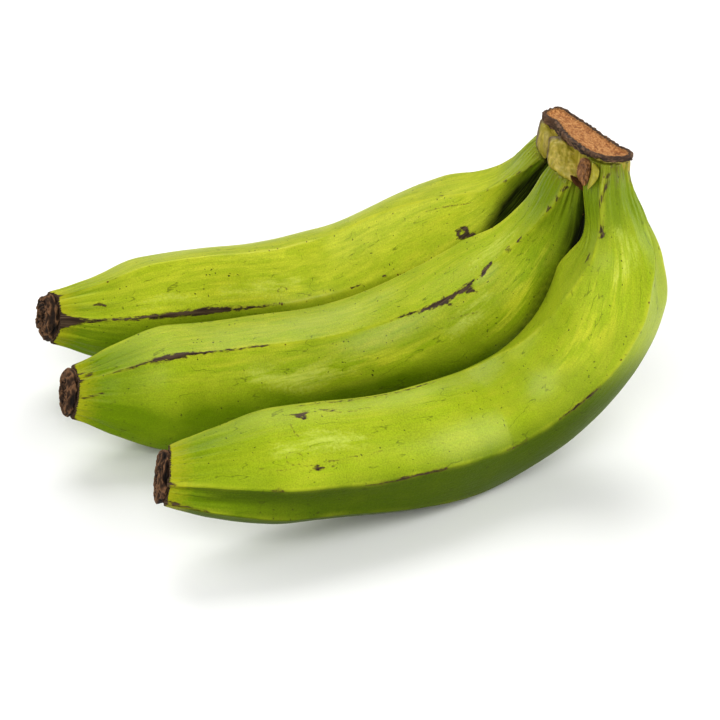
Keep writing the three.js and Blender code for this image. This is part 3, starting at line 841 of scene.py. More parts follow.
# %% Peel: clefts, necks and ribs
# Deep in a cleft the skin gets painted shade, and the flanks of a neck that face away from the sky get a
# fuller, leafier green, also painted shade.
cleft_share = add(tree, "ShaderNodeMapRange",
                  {"Value": marks["from_neck"], 1: 40.0, 2: 90.0, 3: 0.85, 4: 0.8})
in_cleft = add(tree, "ShaderNodeMath", {0: marks["cleft"], 1: cleft_share}, operation="MULTIPLY")
shade_side = add(tree, "ShaderNodeMapRange",
                 {"Value": marks["skyward"], 1: 0.45, 2: 0.9, 3: 0.85, 4: 0.15})
neck_share = add(tree, "ShaderNodeMapRange",
                 {"Value": marks["from_neck"], 1: 24.0, 2: 52.0, 3: 1.0, 4: 0.0})
neck_cover = add(tree, "ShaderNodeMath", {0: shade_side, 1: neck_share}, operation="MULTIPLY")
# Painted shade: the hollows between the necks are painted near black.
in_hollow = add(tree, "ShaderNodeMapRange", {"Value": marks["hollow"], 1: -1.5, 2: 3.5, 3: 0.0, 4: 1.0})
# Both ends are ribbed: the valleys get the deep green as painted shade, and the ribs keep their paler colour.
ribbed = add(tree, "ShaderNodeVectorMath", {0: laid, 1: RIB_DRAW}, operation="MULTIPLY")
ribs = add(tree, "ShaderNodeTexNoise", {"Vector": ribbed, "Scale": 1 / RIB_SIZE, "Detail": 3.0})
tip_way = add(tree, "ShaderNodeMath", {0: marks["from_tip"], 1: RIB_TIP_FADE}, operation="MULTIPLY")
end_way = add(tree, "ShaderNodeMath", {0: marks["from_neck"], 1: tip_way}, operation="MINIMUM")
in_neck = add(tree, "ShaderNodeMapRange", {"Value": end_way, 1: 8.0, 2: RIB_LENGTH / MM, 3: 1.0, 4: 0.0})
valley = add(tree, "ShaderNodeMapRange", {"Value": ribs, 1: 0.36, 2: 0.54, 3: 0.75, 4: 0.0})
valley_cover = add(tree, "ShaderNodeMath", {0: valley, 1: in_neck}, operation="MULTIPLY")
green = linear(PEEL["deep green"])
for cover, finish in (
    (sunlit, "sunny green"), (yellow_sun, "yellow"), (mottle_sun, "leaf green"), (in_cleft, "cleft green"),
    (neck_cover, "neck green"), (in_hollow, "hollow"), (vein_sun, "vein"), (valley_cover, "deep green"),
):
    mixed = add(tree, "ShaderNodeMix", {0: cover, 6: green, 7: linear(PEEL[finish])}, data_type="RGBA")
    green = mixed.outputs[2]
grainy = add(tree, "ShaderNodeMapRange", {"Value": grain, 1: 0.3, 2: 0.7, 3: 0.86, 4: 1.14})
colour = add(tree, "ShaderNodeVectorMath", {0: green, "Scale": grainy}, operation="SCALE").outputs[0]
print("peel:", len(tree.nodes), "nodes so far")

# %% Peel: ridges, ends, scuffs and painted highlights
ragged = add(tree, "ShaderNodeMapRange", {"Value": wobble, 1: 0.3, 2: 0.7, 3: -0.5, 4: 0.5})
patchy = add(tree, "ShaderNodeMapRange", {"Value": clouds, 1: 0.38, 2: 0.6, 3: 0.15, 4: 1.0})
layers = []
# Ridges go yellow in a band about a millimetre wide, in some places more than in others.
band = add(tree, "ShaderNodeMath", {0: ragged, 1: 0.4, 2: marks["crest"]}, operation="MULTIPLY_ADD")
ridge_cover = add(tree, "ShaderNodeMapRange", {"Value": band, 1: 0.1, 2: 1.9, 3: 0.44, 4: 0.0},
                  interpolation_type="SMOOTHSTEP")
ridge_cover = add(tree, "ShaderNodeMath", {0: ridge_cover, 1: patchy}, operation="MULTIPLY")
# The ridge yellow fades on the lower ridges, as painted shade.
sunned = add(tree, "ShaderNodeMapRange", {"Value": marks["skyward"], 1: 0.2, 2: 0.8, 3: 0.3, 4: 1.0})
ridge_cover = add(tree, "ShaderNodeMath", {0: ridge_cover, 1: sunned}, operation="MULTIPLY")
# No ridge yellow, stalk colour or coat inside the painted shade of the hollows.
out_of_hollow = add(tree, "ShaderNodeMapRange", {"Value": marks["hollow"], 1: -1.0, 2: 1.5, 3: 1.0, 4: 0.0})
layers.append((add(tree, "ShaderNodeMath", {0: ridge_cover, 1: out_of_hollow}, operation="MULTIPLY"),
               "ridge yellow"))
# The stalk end and the flower end are paler and yellower.
neck_wave = add(tree, "ShaderNodeMath", {0: ragged, 1: 8.0, 2: marks["from_neck"]}, operation="MULTIPLY_ADD")
stalk_end = add(tree, "ShaderNodeMapRange", {"Value": neck_wave, 1: -2.0, 2: 9.0, 3: 0.5, 4: 0.0})
pale_lit_neck = add(tree, "ShaderNodeMapRange", {"Value": neck_wave, 1: 0.0, 2: 34.0, 3: 0.25, 4: 0.0})
# Painted light: the pale stalk colour is strongest on the neck's upper sides.
pale_lit_neck = add(tree, "ShaderNodeMath", {0: pale_lit_neck, 1: marks["skyward"]}, operation="MULTIPLY")
stalk_cover = add(tree, "ShaderNodeMath", {0: stalk_end, 1: pale_lit_neck}, operation="MAXIMUM")
stalk_cover = add(tree, "ShaderNodeMath", {0: stalk_cover, 1: out_of_hollow}, operation="MULTIPLY")
layers.append((stalk_cover, "stalk"))
# Brown latex has dried in streaks where the neck leaves the crown.
latex_end = add(tree, "ShaderNodeMapRange", {"Value": neck_wave, 1: -3.0, 2: 6.0, 3: 0.7, 4: 0.0})
latex = add(tree, "ShaderNodeMapRange", {"Value": veins, 1: 0.46, 2: 0.6, 3: 0.0, 4: 1.0})
layers.append((add(tree, "ShaderNodeMath", {0: latex, 1: latex_end}, operation="MULTIPLY"), "smudge"))
tip_wave = add(tree, "ShaderNodeMath", {0: ragged, 1: 4.0, 2: marks["from_tip"]}, operation="MULTIPLY_ADD")
layers.append((add(tree, "ShaderNodeMapRange", {"Value": tip_wave, 1: 0.0, 2: 9.0, 3: 0.6, 4: 0.0}),
               "tip yellow"))
# Scuffs are a broken pale film: partly rubbed wax, partly painted highlight.
scuffed_and_lit = add(tree, "ShaderNodeMath", {0: ragged, 1: 4.0, 2: marks["scuff_and_highlight"]}, operation="MULTIPLY_ADD")
scuff_and_highlight_cover = add(tree, "ShaderNodeMapRange", {"Value": scuffed_and_lit, 1: -1.0, 2: 5.0, 3: 0.0, 4: 1.0})
rubbed = add(tree, "ShaderNodeMapRange", {"Value": mottle, 1: 0.42, 2: 0.6, 3: 0.55, 4: 0.0})
layers.append((add(tree, "ShaderNodeMath", {0: scuff_and_highlight_cover, 1: rubbed}, operation="MULTIPLY"), "scuff_and_highlight"))
print("layers on the green:", [finish for _, finish in layers])

# %% Peel: flecks and dried sap
# Flecks are short strokes of dried sap, one in some of the cells of a stretched Voronoi pattern.
bent = add(tree, "ShaderNodeTexNoise", {"Vector": laid, "Scale": 1 / FLECK_BEND})
bend = add(tree, "ShaderNodeVectorMath", {0: bent.outputs["Color"], "Scale": 2.4 * MM}, operation="SCALE")
fleck_place = add(tree, "ShaderNodeVectorMath", {0: laid, 1: bend}, operation="ADD")
stretched = add(tree, "ShaderNodeMapping", {"Vector": fleck_place, "Scale": (1, 1, 0.55)})
cells = add(tree, "ShaderNodeTexVoronoi", {"Vector": stretched, "Scale": 1 / FLECK_CELL})
cell_draw = add(tree, "ShaderNodeSeparateColor", {0: cells.outputs["Color"]})
fleck_size = add(tree, "ShaderNodeMapRange",
                 {"Value": cell_draw.outputs[0], 1: 0.25, 2: 1.0, 3: -0.02, 4: 0.11})
fleck_gap = add(tree, "ShaderNodeMath", {0: fleck_size, 1: cells.outputs["Distance"]}, operation="SUBTRACT")
flecked = add(tree, "ShaderNodeMapRange", {"Value": fleck_gap, 1: -0.01, 2: 0.05, 3: 0.0, 4: 0.8})
layers.append((flecked, "sap"))
sap_edge = add(tree, "ShaderNodeMath", {0: ragged, 1: 0.5, 2: marks["sap"]}, operation="MULTIPLY_ADD")
layers.append((add(tree, "ShaderNodeMapRange", {"Value": sap_edge, 1: -0.15, 2: 0.3, 3: 0.0, 4: 0.7}),
               "smudge"))
# Finer specks come in patches, and short dark hairlines run along the fruit.
pricks = add(tree, "ShaderNodeTexVoronoi", {"Vector": fleck_place, "Scale": 1 / PRICK_CELL})
prick_draw = add(tree, "ShaderNodeSeparateColor", {0: pricks.outputs["Color"]})
prick_size = add(tree, "ShaderNodeMapRange",
                 {"Value": prick_draw.outputs[0], 1: 0.4, 2: 1.0, 3: -0.05, 4: 0.26})
prick_gap = add(tree, "ShaderNodeMath", {0: prick_size, 1: pricks.outputs["Distance"]}, operation="SUBTRACT")
pricked = add(tree, "ShaderNodeMapRange", {"Value": prick_gap, 1: -0.02, 2: 0.08, 3: 0.0, 4: 0.85})
prick_patch = add(tree, "ShaderNodeMapRange", {"Value": bands, 1: 0.47, 2: 0.53, 3: 0.0, 4: 1.0})
layers.append((add(tree, "ShaderNodeMath", {0: pricked, 1: prick_patch}, operation="MULTIPLY"), "sap"))
off_crease = add(tree, "ShaderNodeMath", {0: bands, 1: 0.45}, operation="SUBTRACT")
off_crease = add(tree, "ShaderNodeMath", {0: off_crease}, operation="ABSOLUTE")
crease = add(tree, "ShaderNodeMapRange", {"Value": off_crease, 1: 0.0, 2: 0.009, 3: 0.55, 4: 0.0})
crease_part = add(tree, "ShaderNodeMapRange", {"Value": mottle, 1: 0.5, 2: 0.58, 3: 0.0, 4: 1.0})
layers.append((add(tree, "ShaderNodeMath", {0: crease, 1: crease_part}, operation="MULTIPLY"), "sap"))
# Rust dots sit on the ridges, most of them small.
dots = add(tree, "ShaderNodeTexVoronoi", {"Vector": laid, "Scale": 1 / DOT_CELL})
dot_draw = add(tree, "ShaderNodeSeparateColor", {0: dots.outputs["Color"]})
dot_size = add(tree, "ShaderNodeMapRange", {"Value": dot_draw.outputs[1], 1: 0.62, 2: 1.0, 3: 0.0, 4: 0.3})
dot_gap = add(tree, "ShaderNodeMath", {0: dot_size, 1: dots.outputs["Distance"]}, operation="SUBTRACT")
dotted = add(tree, "ShaderNodeMapRange", {"Value": dot_gap, 1: 0.0, 2: 0.08, 3: 0.0, 4: 0.9})
on_ridge = add(tree, "ShaderNodeMapRange", {"Value": marks["crest"], 1: 0.5, 2: 1.1, 3: 1.0, 4: 0.0})
layers.append((add(tree, "ShaderNodeMath", {0: dotted, 1: on_ridge}, operation="MULTIPLY"), "rust"))
print("layers on the green:", len(layers))

# %% Peel: scars on top
# A scar has a thin brown edge round a dark, dry middle with a greyer heart.
frayed = add(tree, "ShaderNodeTexNoise",
             {"Vector": drawn_out, "Scale": 1 / FRAY, "Detail": 4.0, "Roughness": 0.65})
fray = add(tree, "ShaderNodeMapRange", {"Value": frayed, 1: 0.3, 2: 0.7, 3: -0.85, 4: 0.5})
scar_edge = add(tree, "ShaderNodeMath", {0: fray, 1: marks["scar"]}, operation="ADD")
layers.append((add(tree, "ShaderNodeMapRange", {"Value": scar_edge, 1: -0.5, 2: 0.1, 3: 0.0, 4: 0.6}),
               "smudge"))
scarred = add(tree, "ShaderNodeMapRange", {"Value": scar_edge, 1: -0.02, 2: 0.32, 3: 0.0, 4: 1.0})
layers.append((scarred, "scar"))
heart = add(tree, "ShaderNodeMapRange", {"Value": veins, 1: 0.42, 2: 0.62})
layers.append((add(tree, "ShaderNodeMath", {0: heart, 1: scarred}, operation="MULTIPLY"), "scar grey"))

for cover, finish in layers:
    mixed = add(tree, "ShaderNodeMix", {0: cover, 6: colour, 7: linear(PEEL[finish])}, data_type="RGBA")
    colour = mixed.outputs[2]
tree.links.new(colour, shader.inputs["Base Color"])
print("peel:", len(layers), "layers over the green")

# %% Peel: sheen and relief
satin = add(tree, "ShaderNodeMapRange", {"Value": clouds, 1: 0.3, 2: 0.7, 3: 0.38, 4: 0.5})
dry = add(tree, "ShaderNodeMath", {0: scarred, 1: 0.35, 2: satin}, operation="MULTIPLY_ADD")
dull = add(tree, "ShaderNodeMath", {0: in_hollow, 1: 0.5, 2: dry}, operation="MULTIPLY_ADD", use_clamp=True)
tree.links.new(dull.outputs[0], shader.inputs["Roughness"])
relief = add(tree, "ShaderNodeMath", {0: veins, 1: 0.6, 2: wobble}, operation="MULTIPLY_ADD")
relief = add(tree, "ShaderNodeMath", {0: mottle, 1: 2.5, 2: relief}, operation="MULTIPLY_ADD")
raised = add(tree, "ShaderNodeMath", {0: scarred, 1: 1.5, 2: relief}, operation="MULTIPLY_ADD")
bump = add(tree, "ShaderNodeBump", {"Height": raised, "Distance": 0.16 * MM, "Strength": 0.8})
tree.links.new(bump.outputs[0], shader.inputs["Normal"])
shader.inputs["Specular IOR Level"].default_value = 0.1
# Wax lies thicker where the sun fell, so those sides shine, and it is worn off towards the tip.
waxed = add(tree, "ShaderNodeMapRange", {"Value": marks["skyward"], 1: 0.2, 2: 1.0, 3: 0.01, 4: 0.26})
waxed = add(tree, "ShaderNodeMath", {0: waxed, 1: out_of_hollow}, operation="MULTIPLY")
dull_tip = add(tree, "ShaderNodeMapRange", {"Value": marks["from_tip"], 1: 12.0, 2: 95.0, 3: 0.25, 4: 1.0})
waxed = add(tree, "ShaderNodeMath", {0: waxed, 1: dull_tip}, operation="MULTIPLY")
tree.links.new(waxed.outputs[0], shader.inputs["Coat Weight"])
shader.inputs["Coat Roughness"].default_value = 0.28
print("peel:", len(tree.nodes), "nodes")

# %% [markdown]
# ## Withered, wrinkled surfaces
# The flower ends and the cut crown are dry tissue that has shrunk into folds, knobs and pits.
# Sculpting that three times over is slow, and a bump map would leave the edge smooth. A node tree
# moves the points of any fine mesh instead: folds come from a noise whose middle value is drawn
# out into thin ridges, and pits from the middles of Voronoi cells. It reads each point's own
# `place`, so the folds can run round a flower end or along a crown, and it leaves the height
# behind for the material to colour.

# %% Geometry Nodes: withering
wither = bpy.data.node_groups.new("wither", "GeometryNodeTree")
wither.is_modifier = True
for label, kind in (
    ("Mesh", "NodeSocketGeometry"), ("Fold Size", "NodeSocketFloat"), ("Fold Depth", "NodeSocketFloat"),
    ("Pit Size", "NodeSocketFloat"), ("Pit Depth", "NodeSocketFloat"), ("Finish", "NodeSocketMaterial"),
):
    wither.interface.new_socket(label, in_out="INPUT", socket_type=kind)
wither.interface.new_socket("Mesh", in_out="OUTPUT", socket_type="NodeSocketGeometry")
given = add(wither, "NodeGroupInput").outputs
place = add(wither, "GeometryNodeInputNamedAttribute", {"Name": "place"}, data_type="FLOAT_VECTOR")
worn = add(wither, "GeometryNodeInputNamedAttribute", {"Name": "worn"}, data_type="FLOAT")
fold_scale = add(wither, "ShaderNodeMath", {0: 1.0, 1: given["Fold Size"]}, operation="DIVIDE")
slow_scale = add(wither, "ShaderNodeMath", {0: fold_scale, 1: 0.45}, operation="MULTIPLY")
swirl = add(wither, "ShaderNodeTexNoise", {"Vector": place, "Scale": slow_scale, "Detail": 1.0})
turned = add(wither, "ShaderNodeVectorMath", {0: swirl.outputs["Color"], 1: (0.5, 0.5, 0.5)},
             operation="SUBTRACT")
sway = add(wither, "ShaderNodeMath", {0: given["Fold Size"], 1: 1.6}, operation="MULTIPLY")
swayed = add(wither, "ShaderNodeVectorMath", {0: turned, "Scale": sway}, operation="SCALE")
drawn = add(wither, "ShaderNodeVectorMath", {0: place, 1: swayed}, operation="ADD")
noise = add(wither, "ShaderNodeTexNoise", {"Vector": drawn, "Scale": fold_scale, "Detail": 2.0})
from_middle = add(wither, "ShaderNodeMath", {0: noise, 1: 0.5}, operation="SUBTRACT")
away_from = add(wither, "ShaderNodeMath", {0: from_middle}, operation="ABSOLUTE")
fold = add(wither, "ShaderNodeMapRange", {"Value": away_from, 1: 0.0, 2: 0.14, 3: 1.0, 4: 0.0})
pit_scale = add(wither, "ShaderNodeMath", {0: 1.0, 1: given["Pit Size"]}, operation="DIVIDE")
cells = add(wither, "ShaderNodeTexVoronoi", {"Vector": drawn, "Scale": pit_scale})
pit = add(wither, "ShaderNodeMapRange", {"Value": cells, 1: 0.12, 2: 0.42, 3: 1.0, 4: 0.0},
          interpolation_type="SMOOTHSTEP")
folded = add(wither, "ShaderNodeMath", {0: fold, 1: given["Fold Depth"]}, operation="MULTIPLY")
sunk = add(wither, "ShaderNodeMath", {0: pit, 1: given["Pit Depth"]}, operation="MULTIPLY")
height = add(wither, "ShaderNodeMath", {0: folded, 1: sunk}, operation="SUBTRACT")
print("wither:", len(wither.nodes), "nodes so far")

# %% Withering: moving the points
worn_height = add(wither, "ShaderNodeMath", {0: height, 1: worn}, operation="MULTIPLY")
outward = add(wither, "GeometryNodeInputNormal")
offset = add(wither, "ShaderNodeVectorMath", {0: outward, "Scale": worn_height}, operation="SCALE")
raised_mm = add(wither, "ShaderNodeMath", {0: worn_height, 1: 1 / MM}, operation="MULTIPLY")
kept = add(wither, "GeometryNodeStoreNamedAttribute",
           {"Geometry": given["Mesh"], "Name": "raised", "Value": raised_mm},
           data_type="FLOAT", domain="POINT")
moved = add(wither, "GeometryNodeSetPosition", {"Geometry": kept, "Offset": offset})
smooth = add(wither, "GeometryNodeSetShadeSmooth", {"Geometry": moved})
real = add(wither, "GeometryNodeRealizeInstances", {"Geometry": smooth})
coated = add(wither, "GeometryNodeSetMaterial", {"Geometry": real, "Material": given["Finish"]})
add(wither, "NodeGroupOutput", {"Mesh": coated})


def weathered(name, mesh, folds, pits, finish):
    """Withers a mesh: its folds and its pits are each told by their size and depth in mm."""
    return grow(name, mesh, wither, {
        "Fold Size": folds[0] * MM, "Fold Depth": folds[1] * MM,
        "Pit Size": pits[0] * MM, "Pit Depth": pits[1] * MM, "Finish": finish,
    })


print("wither:", len(wither.nodes), "nodes")

# %% [markdown]
# ## The flower ends
# A banana flower withers on the fruit's tip and leaves a thick, wrinkled brown button with a
# rosette where the style broke off. It is round, so its profile is turned about the tip's
# heading. The folds must run round it: `place` is measured round a narrow circle, which draws
# every fold out sideways, and along the profile.

# %% Flower ends
# The profile: (mm in front of the peel's end, mm from the middle).
BUTTON_PROFILE = [
    (0, 8.7), (0.5, 9.5), (1.3, 9.9), (2.4, 9.6), (3.3, 8.8), (3.9, 7.7), (3.6, 6.7), (4.1, 5.6),
    (3.2, 4.7), (4.0, 3.7), (2.6, 2.9), (3.4, 2.1), (1.6, 1.3), (1.2, 0.5), (1.2, 0),
]
BUTTON_DEPTHS = {"front": 0.7, "middle": 0.75, "back": 1.0}
BUTTON_WIDTHS = {"front": 0.97, "middle": 0.88, "back": 0.91}
BUTTON_ROWS = 90
BUTTON_COLUMNS = 230
# How wide round a knob is measured, and how far it stands out and forward for each mm it is high.
BUTTON_RADIUS, KNOB_OUT, KNOB_AHEAD = 9, 0.8, 0.45
# The button is a little five-lobed between its rim and its middle.
LOBES, LOBE_DEPTH, LOBE_TURN = 5, 0.05, 1.0
FOLD_CIRCLE = 3.4 * MM
BUTTON_FOLDS, BUTTON_PITS = (2.3, 0.75), (3.4, 0.9)
# Knobs where the flower's lobes broke off: (degrees round, share of the profile, mm high, mm wide).
KNOBS = {
    "front": [(175, 0.5, 1.0, 1.5), (120, 0.42, 0.8, 1.3), (232, 0.45, 0.9, 1.3), (300, 0.4, 0.8, 1.5),
              (30, 0.42, 0.9, 1.4)],
    "middle": [(200, 0.42, 1.7, 1.1), (140, 0.4, 0.9, 1.4), (95, 0.45, 0.7, 1.2), (260, 0.42, 0.8, 1.3),
               (10, 0.4, 0.9, 1.5)],
    "back": [(205, 0.42, 1.2, 1.4), (150, 0.4, 1.0, 1.4), (100, 0.45, 0.6, 1.2), (265, 0.42, 0.7, 1.3),
             (20, 0.4, 0.9, 1.5)],
}
for name, knobs in KNOBS.items():
    print(f"{name} flower end: {len(knobs)} knobs")

# %% Shells from rings of points
def closed_mesh(name, rows):
    """Joins rings of points, the first and last of them shrunk to a point, into a closed shell."""
    rings, around = rows.shape[:2]
    middle = rows[1:-1].reshape(-1, 3)
    points = np.vstack([rows[0].mean(0), middle, rows[-1].mean(0)])
    last = len(points) - 1
    here = np.arange(around)
    there = (here + 1) % around
    faces = [(0, 1 + b, 1 + a) for a, b in zip(here, there)]
    for ring in range(rings - 3):
        low, high = 1 + ring * around, 1 + (ring + 1) * around
        faces += [(low + a, low + b, high + b, high + a) for a, b in zip(here, there)]
    top = 1 + (rings - 3) * around
    faces += [(top + a, top + b, last) for a, b in zip(here, there)]
    mesh = bpy.data.meshes.new(name)
    mesh.from_pydata(points.tolist(), [], faces)
    mesh.update()
    return mesh


def by_row(values):
    """One value for each point of a closed mesh: the poles take the first value of their ring."""
    return np.concatenate([values[0][:1], values[1:-1].reshape(-1, *values.shape[2:]), values[-1][:1]])


print("one button:", (BUTTON_ROWS - 2) * BUTTON_COLUMNS + 2, "points")

# %% Turning the buttons
def button_mesh(label, name, finger, knobs):
    """The button of a finger: its profile turned about the tip's heading, with its knobs raised."""
    base = np.array([finger["length"] - FLOWER_END_DEPTH])
    tip, heading, side, across = turned_frames(finger, base)
    profile = np.array([(0, 0), *BUTTON_PROFILE], float)
    profile *= (BUTTON_DEPTHS[name], BUTTON_WIDTHS[name])
    line = curve_through(np.column_stack([profile, np.zeros(len(profile))]))[:, :2]
    travel = travelled(line)
    steps, turn = np.meshgrid(np.linspace(0, travel[-1], BUTTON_ROWS),
                              np.linspace(0, math.tau, BUTTON_COLUMNS, endpoint=False), indexing="ij")
    share = steps / travel[-1]
    ahead, out = (np.interp(steps, travel, line[:, k]) for k in (0, 1))
    for degrees, at, high, wide in knobs:
        round_gap = ((turn - math.radians(degrees) + math.pi) % math.tau - math.pi) * BUTTON_RADIUS
        gap = np.hypot(round_gap, (share - at) * travel[-1])
        knob = high * np.exp(-(gap / wide) ** 2)
        out = out + KNOB_OUT * knob
        ahead = ahead + KNOB_AHEAD * knob
    between = np.clip(share * 2, 0, 1) * np.clip((1 - share) * 3, 0, 1)
    out = out * (1 + LOBE_DEPTH * np.cos(LOBES * turn + LOBE_TURN) * between)
    outward = side * np.cos(turn)[..., None] + across * np.sin(turn)[..., None]
    mesh = closed_mesh(label, (tip + heading * ahead[..., None] + outward * out[..., None]) * MM)
    circle = np.stack([FOLD_CIRCLE * np.cos(turn), FOLD_CIRCLE * np.sin(turn), steps * MM], -1)
    attribute(mesh, "place", by_row(circle) + np.array(tip) * MM, "FLOAT_VECTOR")
    attribute(mesh, "worn", by_row(ease(0, 0.1, share)))
    attribute(mesh, "sunk", by_row(ease(0.62, 1.0, share)))
    return mesh


withered = bpy.data.materials.new("withered_flower")
buttons = {}
for name, finger in FINGERS.items():
    button = button_mesh(f"flower_end_{name}", name, finger, KNOBS[name])
    buttons[name] = weathered(f"flower_end_{name}_withered", button, BUTTON_FOLDS, BUTTON_PITS, withered)
    print(f"{name} flower end: {len(buttons[name].data.polygons)} faces")

# %% [markdown]
# ## Dried flower tissue
# Dead plant tissue is matt, so it is rough all over. The height that the node tree left behind picks the
# colour, broken up by a fine speckle: grey-brown on the raised folds, a painted highlight, down to almost
# black in the pits, a painted shade.

# %% Material: withered flower
WITHERED = {"pit": "#0A0604", "hollow": "#1C120C", "flesh": "#3C2A1B", "fold": "#7F5F43"}
# Between which heights, in mm, each colour comes in over the darker one.
WITHERED_FROM = {"hollow": (-0.45, 0.1), "flesh": (0.15, 0.55), "fold": (0.6, 1.05)}
SPECKLE = 0.5 * MM
withered.use_nodes = True
tree = withered.node_tree
shader = tree.nodes["Principled BSDF"]
height = add(tree, "ShaderNodeAttribute", attribute_name="raised").outputs["Fac"]
sunk = add(tree, "ShaderNodeAttribute", attribute_name="sunk").outputs["Fac"]
place = add(tree, "ShaderNodeAttribute", attribute_name="place").outputs["Vector"]
speckle = add(tree, "ShaderNodeTexNoise", {"Vector": place, "Scale": 1 / SPECKLE, "Detail": 3.0})
# The sunken middle of the button gets more painted shade than its height alone would give it.
lowered = add(tree, "ShaderNodeMath", {0: sunk, 1: -0.35, 2: height}, operation="MULTIPLY_ADD")
speckled = add(tree, "ShaderNodeMath", {0: speckle, 1: 0.5, 2: lowered}, operation="MULTIPLY_ADD")
colour = linear(WITHERED["pit"])
for finish, (low, high) in WITHERED_FROM.items():
    cover = add(tree, "ShaderNodeMapRange", {"Value": speckled, 1: low, 2: high, 3: 0.0, 4: 1.0})
    mixed = add(tree, "ShaderNodeMix", {0: cover, 6: colour, 7: linear(WITHERED[finish])}, data_type="RGBA")
    colour = mixed.outputs[2]
tree.links.new(colour, shader.inputs["Base Color"])
shader.inputs["Roughness"].default_value = 0.75
shader.inputs["Specular IOR Level"].default_value = 0.25
fine = add(tree, "ShaderNodeBump", {"Height": speckle, "Distance": 0.25 * MM, "Strength": 0.8})
tree.links.new(fine.outputs[0], shader.inputs["Normal"])
print("withered flower:", len(tree.nodes), "nodes")

# %% [markdown]
# ## The cut crown
# The three necks join in a woody crown. It was cut through with a knife, so its top is a flat
# face of torn, curly fibres inside a dark, dried rim. The slab is made from its outline, then
# remeshed into even small squares, so the same withering tree can tear the fibres and the rim
# out of it.

# %% The outline of the cut
CROWN_TOP = 131.3
# The outline of the cut face, from its back end round the side away from the fingers.
CROWN_OUTLINE = [
    (78.2, 17.8), (80.6, 21.0), (84, 22.9), (87, 20.6), (90.8, 12.5), (94.2, 5.9), (97.5, -1.5),
    (102, -11.8), (105.2, -18.1), (107.6, -20.9), (108.4, -23.6), (107.8, -27.2), (105.6, -28.4),
    (101.8, -28.9), (98.1, -28.2), (95.8, -26.6), (93.4, -24.1), (90.7, -20.2), (87.9, -13.9),
    (84.8, -5.6), (83.2, 1.1), (81.6, 8.6), (79.0, 12.2),
]
# How thick the dried rim is: (mm from the front to the back of the crown, mm thick).
RIM_DEPTHS = [(-29, 1.4), (-26, 1.3), (-20, 1.7), (-14, 1.9), (-6, 2.4), (2, 3.0), (8, 3.1),
              (13, 2.4), (23, 3.2)]
OUTLINE_STEPS = 10


def closed_curve(points):
    """A smooth closed line through its points."""
    wrapped = [points[-1], *points, points[0], points[1]]
    flat = np.column_stack([np.array(wrapped, float), np.zeros(len(wrapped))])
    return curve_through(flat, OUTLINE_STEPS)[OUTLINE_STEPS:OUTLINE_STEPS * (len(points) + 1), :2]
outline = closed_curve(CROWN_OUTLINE)
# The cut edge wavers by a fraction of a millimetre, and so does the foot of the rim.
outline[:, 0] += 0.22 * np.sin(outline[:, 1] * 2.3) + 0.15 * np.sin(outline[:, 1] * 5.1 + 2)
rim_depth = np.interp(outline[:, 1], *zip(*RIM_DEPTHS))
ragged = 0.3 * np.sin(outline[:, 1] * 1.9 + outline[:, 0]) + 0.25 * np.sin(outline[:, 1] * 4.3 + 1)
print("cut outline:", len(outline), "points")

# %% Crown slab
SLAB_VOXEL, SLAB_SMOOTHING = 0.34 * MM, 3


def prism(name, outline, top, bottoms):
    """A block between an outline at one height and the same outline at heights of its own, in mm."""
    count = len(outline)
    points = [(x, y, top) for x, y in outline] + [(x, y, z) for (x, y), z in zip(outline, bottoms)]
    sides = [(i, i + count, (i + 1) % count + count, (i + 1) % count) for i in range(count)]
    mesh = bpy.data.meshes.new(name)
    faces = [tuple(range(count)), tuple(reversed(range(count, 2 * count))), *sides]
    mesh.from_pydata([tuple(v * MM for v in p) for p in points], [], faces)
    mesh.update()
    return mesh


def remeshed(name, mesh, voxel, smoothing):
    """The same shape in even small squares, with its edges softened."""
    block = bpy.data.objects.new(name, mesh)
    bpy.context.collection.objects.link(block)
    even = block.modifiers.new("even", "REMESH")
    even.mode, even.voxel_size = "VOXEL", voxel
    soft = block.modifiers.new("soft", "SMOOTH")
    soft.factor, soft.iterations = 0.5, smoothing
    done = bpy.data.meshes.new_from_object(block.evaluated_get(bpy.context.evaluated_depsgraph_get()))
    bpy.data.objects.remove(block)
    return done


def way_to(line, points):
    """The shortest way from each point to a closed line in the same plane."""
    best = np.full(len(points), np.inf)
    for a, b in zip(line, np.roll(line, -1, axis=0)):
        run = b - a
        t = np.clip(((points - a) @ run) / max(run @ run, 1e-12), 0, 1)
        best = np.minimum(best, np.linalg.norm(points - a - t[:, None] * run, axis=1))
    return best


slab = prism("crown_slab", outline, CROWN_TOP, CROWN_TOP - rim_depth + ragged)
slab = remeshed("crown_slab", slab, SLAB_VOXEL, SLAB_SMOOTHING)
print("crown slab:", len(slab.polygons), "faces")

# %% [markdown]
# ## Tearing the cut
# Each point of the slab learns how far it lies inside the rim. The face sinks a little in its
# middle, as cut tissue dries back from its rind, and the rim stands up round it. `place` is
# squeezed along the crown, so the fibres come out long in that direction.

# %% Crown slab: sunk face and torn fibres
CROWN_HEADING = np.array([0.47, -0.88])
# The cut face: mm inside the outline where it starts and is full, and where it is sunk, how deep.
FACE_FROM, FACE_FULL = 0.7, 1.9
SUNK_FROM, SUNK_FULL, SUNK_DEPTH = 1.0, 4.0, 0.9
# The lip of the rim: how high, how far inside the outline and how wide, in mm.
LIP_HEIGHT, LIP_INSIDE, LIP_WIDTH = 0.45, 0.6, 0.8
